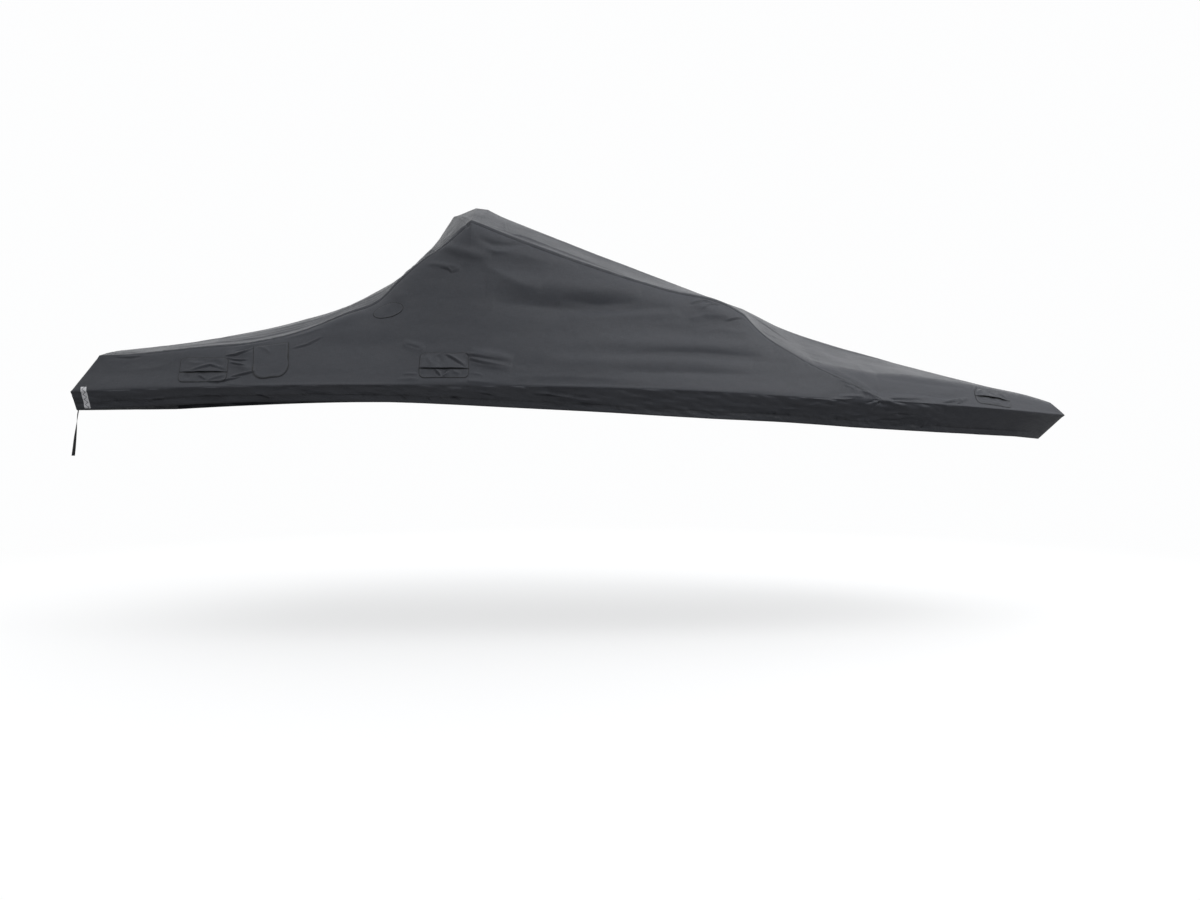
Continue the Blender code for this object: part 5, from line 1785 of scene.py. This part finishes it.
# Colours.
CHARCOAL = ((0.0575, 0.0612, 0.0730, 1.0), (0.0625, 0.0655, 0.0760, 1.0))
THREAD_COLOUR = (0.110, 0.112, 0.118, 1.0)
TAPE_WHITE = ((0.80, 0.80, 0.83, 1.0), (0.89, 0.89, 0.92, 1.0))
TAPE_GREY = (0.16, 0.16, 0.18, 1.0)
WEBBING_BLACK = (0.019, 0.021, 0.022)
PIPING_DARK = ((0.016, 0.017, 0.019, 1.0), (0.034, 0.035, 0.038, 1.0))

# How each value noted on the points darkens or lightens the cloth's tone: painted shade at seams, hems
# and sewn edges, real wear beside them, and painted shade behind the hoods.
TONES = (("shade", -0.42), ("wear", 0.16), ("hood_shade", -0.80))


def weave_height(nodes, cloth, pitch):
    """Basket of over and under threads, from 0 to 1."""
    across, along = nodes.split(cloth)
    u = nodes.times(across, math.tau / pitch / 2.0)
    v = nodes.times(along, math.tau / pitch / 2.0)
    warp = nodes.math("ABSOLUTE", nodes.math("SINE", u))
    weft = nodes.math("ABSOLUTE", nodes.math("SINE", v))
    crossing = nodes.times(nodes.math("SINE", u), nodes.math("SINE", v))
    over = nodes.math("GREATER_THAN", crossing, 0.0)
    first = nodes.times(warp, over)
    return nodes.plus(first, nodes.times(weft, nodes.math("SUBTRACT", 1.0, over)))


def stitch_mask(nodes, seam):
    """Where the stitches are, and the lines that they run along."""
    along, gap = nodes.split(seam)
    phase = nodes.math("FRACT", nodes.math("DIVIDE", along, STITCH))
    on = nodes.ramp(nodes.gap(phase, 0.5), 0.30, 0.40, 1.0, 0.0)
    first, second = [
        nodes.ramp(nodes.gap(gap, row), THREAD * 0.5, THREAD * 1.3, 1.0, 0.0) for row in STITCH_ROWS
    ]
    lines = nodes.math("MAXIMUM", first, second)
    return nodes.times(on, lines), lines


def cloth_material():
    material, nodes = material_nodes("charcoal_cover_cloth")
    cloth = nodes.uv("cloth")
    seam = nodes.uv("seam")
    place = nodes.place()
    broad = nodes.stretched_noise(place, (0.8, 0.8, 1.3), 3.0, 0.55)
    blotch = nodes.stretched_noise(place, (5.0, 5.0, 9.0), 4.0, 0.6)
    slub = nodes.stretched_noise(cloth, (18.0, 320.0, 1.0), 3.0, 0.6)
    cross = nodes.stretched_noise(cloth, (300.0, 20.0, 1.0), 3.0, 0.6)
    weave = weave_height(nodes, cloth, WEAVE)
    stitches, lines = stitch_mask(nodes, seam)
    tone = nodes.plus(nodes.ramp(broad, 0.25, 0.75, 0.95, 1.05), nodes.ramp(blotch, 0.25, 0.75, -0.03, 0.03))
    threads = nodes.plus(nodes.ramp(slub, 0.2, 0.8, -0.10, 0.10), nodes.ramp(cross, 0.2, 0.8, -0.08, 0.08))
    tone = nodes.times(nodes.plus(tone, threads), nodes.scaled_plus(weave, 0.22, 0.84))
    for name, change in TONES:
        tone = nodes.times(tone, nodes.scaled_plus(nodes.value_of(name), change, 1.0))
    tone = nodes.times(tone, nodes.scaled_plus(lines, -0.22, 1.0))
    colour = nodes.scaled(nodes.tinted(nodes.ramp(blotch, 0.3, 0.7), *CHARCOAL), tone)
    colour = nodes.tinted(nodes.times(stitches, 0.55), colour, THREAD_COLOUR)
    rough = nodes.plus(nodes.ramp(blotch, 0.25, 0.75, 0.50, 0.60), nodes.times(weave, -0.04))
    crinkle = nodes.stretched_noise(place, (38.0, 38.0, 60.0), 4.0, 0.55)
    rumple = nodes.stretched_noise(place, (11.0, 11.0, 17.0), 2.0)
    coarse = nodes.bump(rumple, 1.0, 0.0012)
    middle = nodes.bump(crinkle, 1.0, 0.0005, Normal=coarse)
    fine = nodes.bump(weave, 0.8, 0.00025, Normal=middle)
    thread = nodes.plus(nodes.times(stitches, 1.0), nodes.times(lines, -0.6))
    stitched = nodes.bump(thread, 1.0, 0.0007, Normal=fine)
    nodes.coat(Base_Color=colour, Roughness=rough, Normal=stitched)
    nodes.coat(Specular_IOR_Level=0.36, Sheen_Weight=0.10, Sheen_Roughness=0.45)
    return material


def tape_material():
    material, nodes = material_nodes("light_corner_tape")
    cloth = nodes.uv("cloth")
    across, down = nodes.split(cloth)
    weave = weave_height(nodes, cloth, TAPE_WEAVE)
    speckle = nodes.stretched_noise(cloth, (260.0, 190.0, 1.0), 2.0)
    wave = nodes.gap(nodes.math("FRACT", nodes.math("DIVIDE", down, ZIGZAG)), 0.5)
    swing = nodes.scaled_plus(wave, 4.0 * ZIGZAG_SWING, -ZIGZAG_SWING)
    bars = nodes.ramp(nodes.gap(across, swing), 0.0030, 0.0050, 1.0, 0.0)
    bars = nodes.times(bars, nodes.ramp(speckle, 0.30, 0.50, 0.6, 1.0))
    light = nodes.tinted(nodes.ramp(speckle, 0.3, 0.7), *TAPE_WHITE)
    colour = nodes.tinted(nodes.times(bars, 0.85), light, TAPE_GREY)
    nodes.coat(Base_Color=colour, Roughness=0.50, Normal=nodes.bump(weave, 0.7, 0.0002))
    return material


def webbing_material():
    material, nodes = material_nodes("tie_webbing")
    cloth = nodes.uv("cloth")
    across, _ = nodes.split(cloth)
    rib = nodes.math("ABSOLUTE", nodes.math("SINE", nodes.times(across, math.tau / WEBBING_RIB)))
    weave = weave_height(nodes, cloth, WEBBING_WEAVE)
    speckle = nodes.stretched_noise(cloth, (240.0, 90.0, 1.0), 2.0)
    tone = nodes.scaled_plus(weave, 0.4, nodes.ramp(speckle, 0.3, 0.7, 0.5, 0.8))
    colour = nodes.scaled(WEBBING_BLACK, tone)
    nodes.coat(Base_Color=colour, Roughness=0.58, Normal=nodes.bump(nodes.plus(rib, weave), 0.8, 0.0004))
    return material


def piping_material():
    material, nodes = material_nodes("dark_piping")
    speckle = nodes.noise(nodes.place(), 260.0, 2.0)
    nodes.coat(Base_Color=nodes.tinted(speckle, *PIPING_DARK), Roughness=0.50)
    return material


def corner_tree(label):
    """The side panel and the skirt of one side as a single surface, for the tape across both."""
    corners = []
    faces = []
    for name in ("side_panel_", "skirt_"):
        grid = cloths[name + label].final
        start = len(corners)
        corners += grid.reshape(-1, 3).tolist()
        faces += (grid_faces(*grid.shape[:2]) + start).tolist()
    return BVHTree.FromPolygons(corners, faces)


# The painted shade behind a hood, where its shadow falls: how far inside its sides it ends, how far
# below its slit it reaches, and the distances over which it fades inside the hood and at that lower edge.
HOOD_SHADE_SIDE = 0.012
HOOD_SHADE_BELOW = 0.010
HOOD_SHADE_FADE = 0.02
HOOD_SHADE_EDGE = 0.006


def pocket_of(cloth):
    """Painted shade where a panel lies behind a vent's hood, from 0 to 1."""
    total = np.zeros(cloth.final.shape[:2])
    for _, panel, x, top, width, height, lean, slit, _ in VENTS:
        for label, side in SIDES:
            if panel.format(label) != cloth.name:
                continue
            away_x = cloth.final[..., 0] - x
            away_z = top - cloth.final[..., 2]
            across = away_x * math.cos(lean) - away_z * math.sin(lean)
            down = away_x * math.sin(lean) + away_z * math.cos(lean)
            beside = ease((width / 2.0 - HOOD_SHADE_SIDE - np.abs(across)) / HOOD_SHADE_FADE)
            inside = beside * ease((down - HOOD_SHADE_FADE) / HOOD_SHADE_FADE)
            inside = inside * ease((height * slit + HOOD_SHADE_BELOW - down) / HOOD_SHADE_EDGE)
            total = np.maximum(total, inside * (cloth.final[..., 1] * side > 0.0))
    return total


# The panels, laid on the long lines.
cloths = {}
cloths["roof_aft"] = lay_roof("roof_aft", "aft", "stern", "tower_rear")
cloths["roof_fore"] = lay_roof("roof_fore", "fore", "tower_rear", "bow")
for label, side in SIDES:
    cloths["side_panel_" + label] = lay_side(label, side)
    cloths["skirt_" + label] = lay_skirt(label, side)
cloths["stern_panel"], cloths["stern_skirt"] = lay_stern(
    cloths["roof_aft"].acrosses, cloths["side_panel_stbd"].ups, cloths["skirt_stbd"].downs
)
shared = shared_normals(cloths)

# The corners where seams meet, which stay where the lines put them.
MEETINGS = (
    ("edge", "stern"),
    ("rail", "stern"),
    ("edge", "tower_rear"),
    ("edge", "seam_end"),
    ("rail", "bow"),
)
meetings = [mirrored(LINES[line][ROW_OF[name]], side) for _, side in SIDES for line, name in MEETINGS]
for cloth in cloths.values():
    dress(cloth, shared, meetings)
for name in HEMMED:
    roll_hem(cloths[name])

charcoal = cloth_material()
light_tape = tape_material()
webbing = webbing_material()
piping = piping_material()

dressed = {}
trees = {}
for name, cloth in cloths.items():
    dressed[name] = make_mesh(
        "cloth_" + name, cloth.final, cloth.normals.mean(axis=(0, 1)), cloth.laid, cloth.seam_map,
        charcoal, cloth.shade, cloth.wear, pocket_of(cloth),
    )
    trees[name] = tree_of(cloth.final)

# The sewn pieces.
cords = {}
for label, side in SIDES:
    for row in VENTS:
        dressed.update(sew_vent_pieces(row, label, side, trees[row[1].format(label)], charcoal))
    panel_tree = trees["side_panel_" + label]
    flap_name = "access_flap_" + label
    dressed[flap_name], cords[flap_name] = sew_access(label, side, panel_tree, charcoal, piping)
    dressed["oval_patch_" + label] = sew_oval(label, side, panel_tree, charcoal)
    dressed["corner_tape_" + label] = sew_tape(label, side, corner_tree(label), light_tape)
dressed["stern_tie"] = hang_tie(cloths["stern_skirt"], webbing)

# Studio: a pale floor with no horizon under a bright sky, a long light over the port side, a key
# light from the bow on the starboard side, and softer ones from the stern, over the fore deck and
# from below.
FLOOR_HEIGHT = -3.06
FLOOR_RADIUS = 26.0
FLOOR_GLOW = 0.50
FLOOR_STRENGTH = 1.30
FLOOR_NEAR = 2.0
FLOOR_FAR = 8.0
FLOOR_COLOUR = (0.84, 0.845, 0.85, 1.0)
BACKDROP = (0.985, 0.987, 0.990, 1.0)
SKY_COLOUR = (0.97, 0.985, 1.0, 1.0)
SKY_LOW = 0.19
SKY_HIGH = 0.80

# The photograph's camera: the horizon lies HORIZON_ABOVE pixels above the middle of the picture, at
# a focal length of FOCAL_PIXELS.
MIDDLE_X = 0.875
CAMERA_PLACE = (MIDDLE_X, -10.25, -1.457)
SENSOR_WIDTH = 36.0
LENS = 40.77
HORIZON_ABOVE = 45.0
FOCAL_PIXELS = 1359.0

# Lights: the name, the power in watts, the place, the point aimed at, the width and the height.
LIGHTS = [
    ("back_sky", 330.0, (0.9, 11.0, 2.6), (0.9, 0.0, -0.6), 16.0, 5.0),
    ("bow_key", 196.0, (7.5, -3.0, 4.0), (1.4, 0.0, -0.9), 4.0, 4.0),
    ("stern_fill", 38.0, (-6.5, -3.0, 3.5), (-1.0, 0.0, -1.0), 4.0, 4.0),
    ("foredeck", 34.0, (3.0, -2.2, 2.8), (2.4, -0.3, -1.1), 3.0, 2.0),
    ("under_fill", 29.0, (0.875, -3.5, -4.6), (0.875, -0.6, -1.3), 10.0, 5.0),
]


def studio_world():
    world = bpy.data.worlds.new("studio")
    world.use_nodes = True
    world.node_tree.nodes.clear()
    nodes = Nodes(world.node_tree)
    place = nodes.add("ShaderNodeTexCoord").outputs["Generated"]
    rise = nodes.add("ShaderNodeSeparateXYZ", None, i0=place).outputs[2]
    strength = nodes.ramp(rise, -0.06, 0.95, SKY_LOW, SKY_HIGH)
    lit = nodes.add("ShaderNodeBackground", None, Color=SKY_COLOUR, Strength=strength).outputs[0]
    plain = nodes.add("ShaderNodeBackground", None, Color=BACKDROP).outputs[0]
    seen = nodes.add("ShaderNodeLightPath").outputs["Is Camera Ray"]
    choose = nodes.add("ShaderNodeMixShader", None, i0=seen, i1=lit, i2=plain).outputs[0]
    nodes.add("ShaderNodeOutputWorld", None, i0=choose)
    bpy.context.scene.world = world


def floor_material():
    material, nodes = material_nodes("studio_floor")
    reach = nodes.add("ShaderNodeVectorMath", {"operation": "LENGTH"}, i0=nodes.place()).outputs["Value"]
    strength = nodes.ramp(reach, FLOOR_NEAR, FLOOR_FAR, FLOOR_STRENGTH, 1.0)
    glow = nodes.add("ShaderNodeEmission", None, Color=BACKDROP, Strength=strength).outputs[0]
    shade = nodes.add("ShaderNodeBsdfDiffuse", None, Color=FLOOR_COLOUR).outputs[0]
    share = nodes.ramp(reach, FLOOR_NEAR, FLOOR_FAR, FLOOR_GLOW, 1.0)
    blend = nodes.add("ShaderNodeMixShader", None, i0=share, i1=shade, i2=glow).outputs[0]
    nodes.feed(nodes.tree.nodes["Material Output"].inputs["Surface"], blend)
    return material


def add_light(name, energy, place, target, width, height):
    data = bpy.data.lights.new(name, "AREA")
    data.energy = energy
    data.shape = "RECTANGLE"
    data.size = width
    data.size_y = height
    item = bpy.data.objects.new(name, data)
    item.location = place
    item.rotation_euler = (Vector(target) - Vector(place)).to_track_quat("-Z", "Y").to_euler()
    item.visible_camera = False
    bpy.context.scene.collection.objects.link(item)


studio_world()
bpy.ops.mesh.primitive_circle_add(
    vertices=96, radius=FLOOR_RADIUS, fill_type="NGON", location=(MIDDLE_X, 0.0, FLOOR_HEIGHT)
)
floor = bpy.context.object
floor.name = "studio_floor"
floor.data.materials.append(floor_material())
floor.visible_diffuse = False
floor.visible_glossy = False
floor.visible_shadow = False
for light in LIGHTS:
    add_light(*light)

camera_data = bpy.data.cameras.new("camera")
camera_data.sensor_width = SENSOR_WIDTH
camera_data.lens = LENS
camera = bpy.data.objects.new("camera", camera_data)
camera.location = CAMERA_PLACE
camera.rotation_euler = (math.pi / 2.0 - math.atan(HORIZON_ABOVE / FOCAL_PIXELS), 0.0, 0.0)
bpy.context.scene.collection.objects.link(camera)
bpy.context.scene.camera = camera
bpy.context.scene.view_settings.view_transform = "Standard"

# What each hanging piece hangs from. Each piece stands for the imported node of its own name, which
# is hidden.
HANGS_FROM = {
    "skirt_stbd": "side_panel_stbd",
    "skirt_port": "side_panel_port",
    "stern_skirt": "stern_panel",
    "stern_tie": "stern_skirt",
}


def under(node):
    """What a piece lies on or hangs from."""
    label = node[-4:]
    if node in HANGS_FROM:
        return [dressed[HANGS_FROM[node]]]
    if node.startswith("vent_") and "_bow_" in node:
        return [dressed["roof_fore"]]
    if node.startswith(("vent_", "access_flap_", "oval_patch_")):
        return [dressed["side_panel_" + label]]
    if node.startswith("corner_tape_"):
        return [dressed["skirt_" + label]]
    return []


for cord in cords.values():
    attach(cord, "root")
for node, item in dressed.items():
    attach(item, "root")
    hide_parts(node)
    under(node)
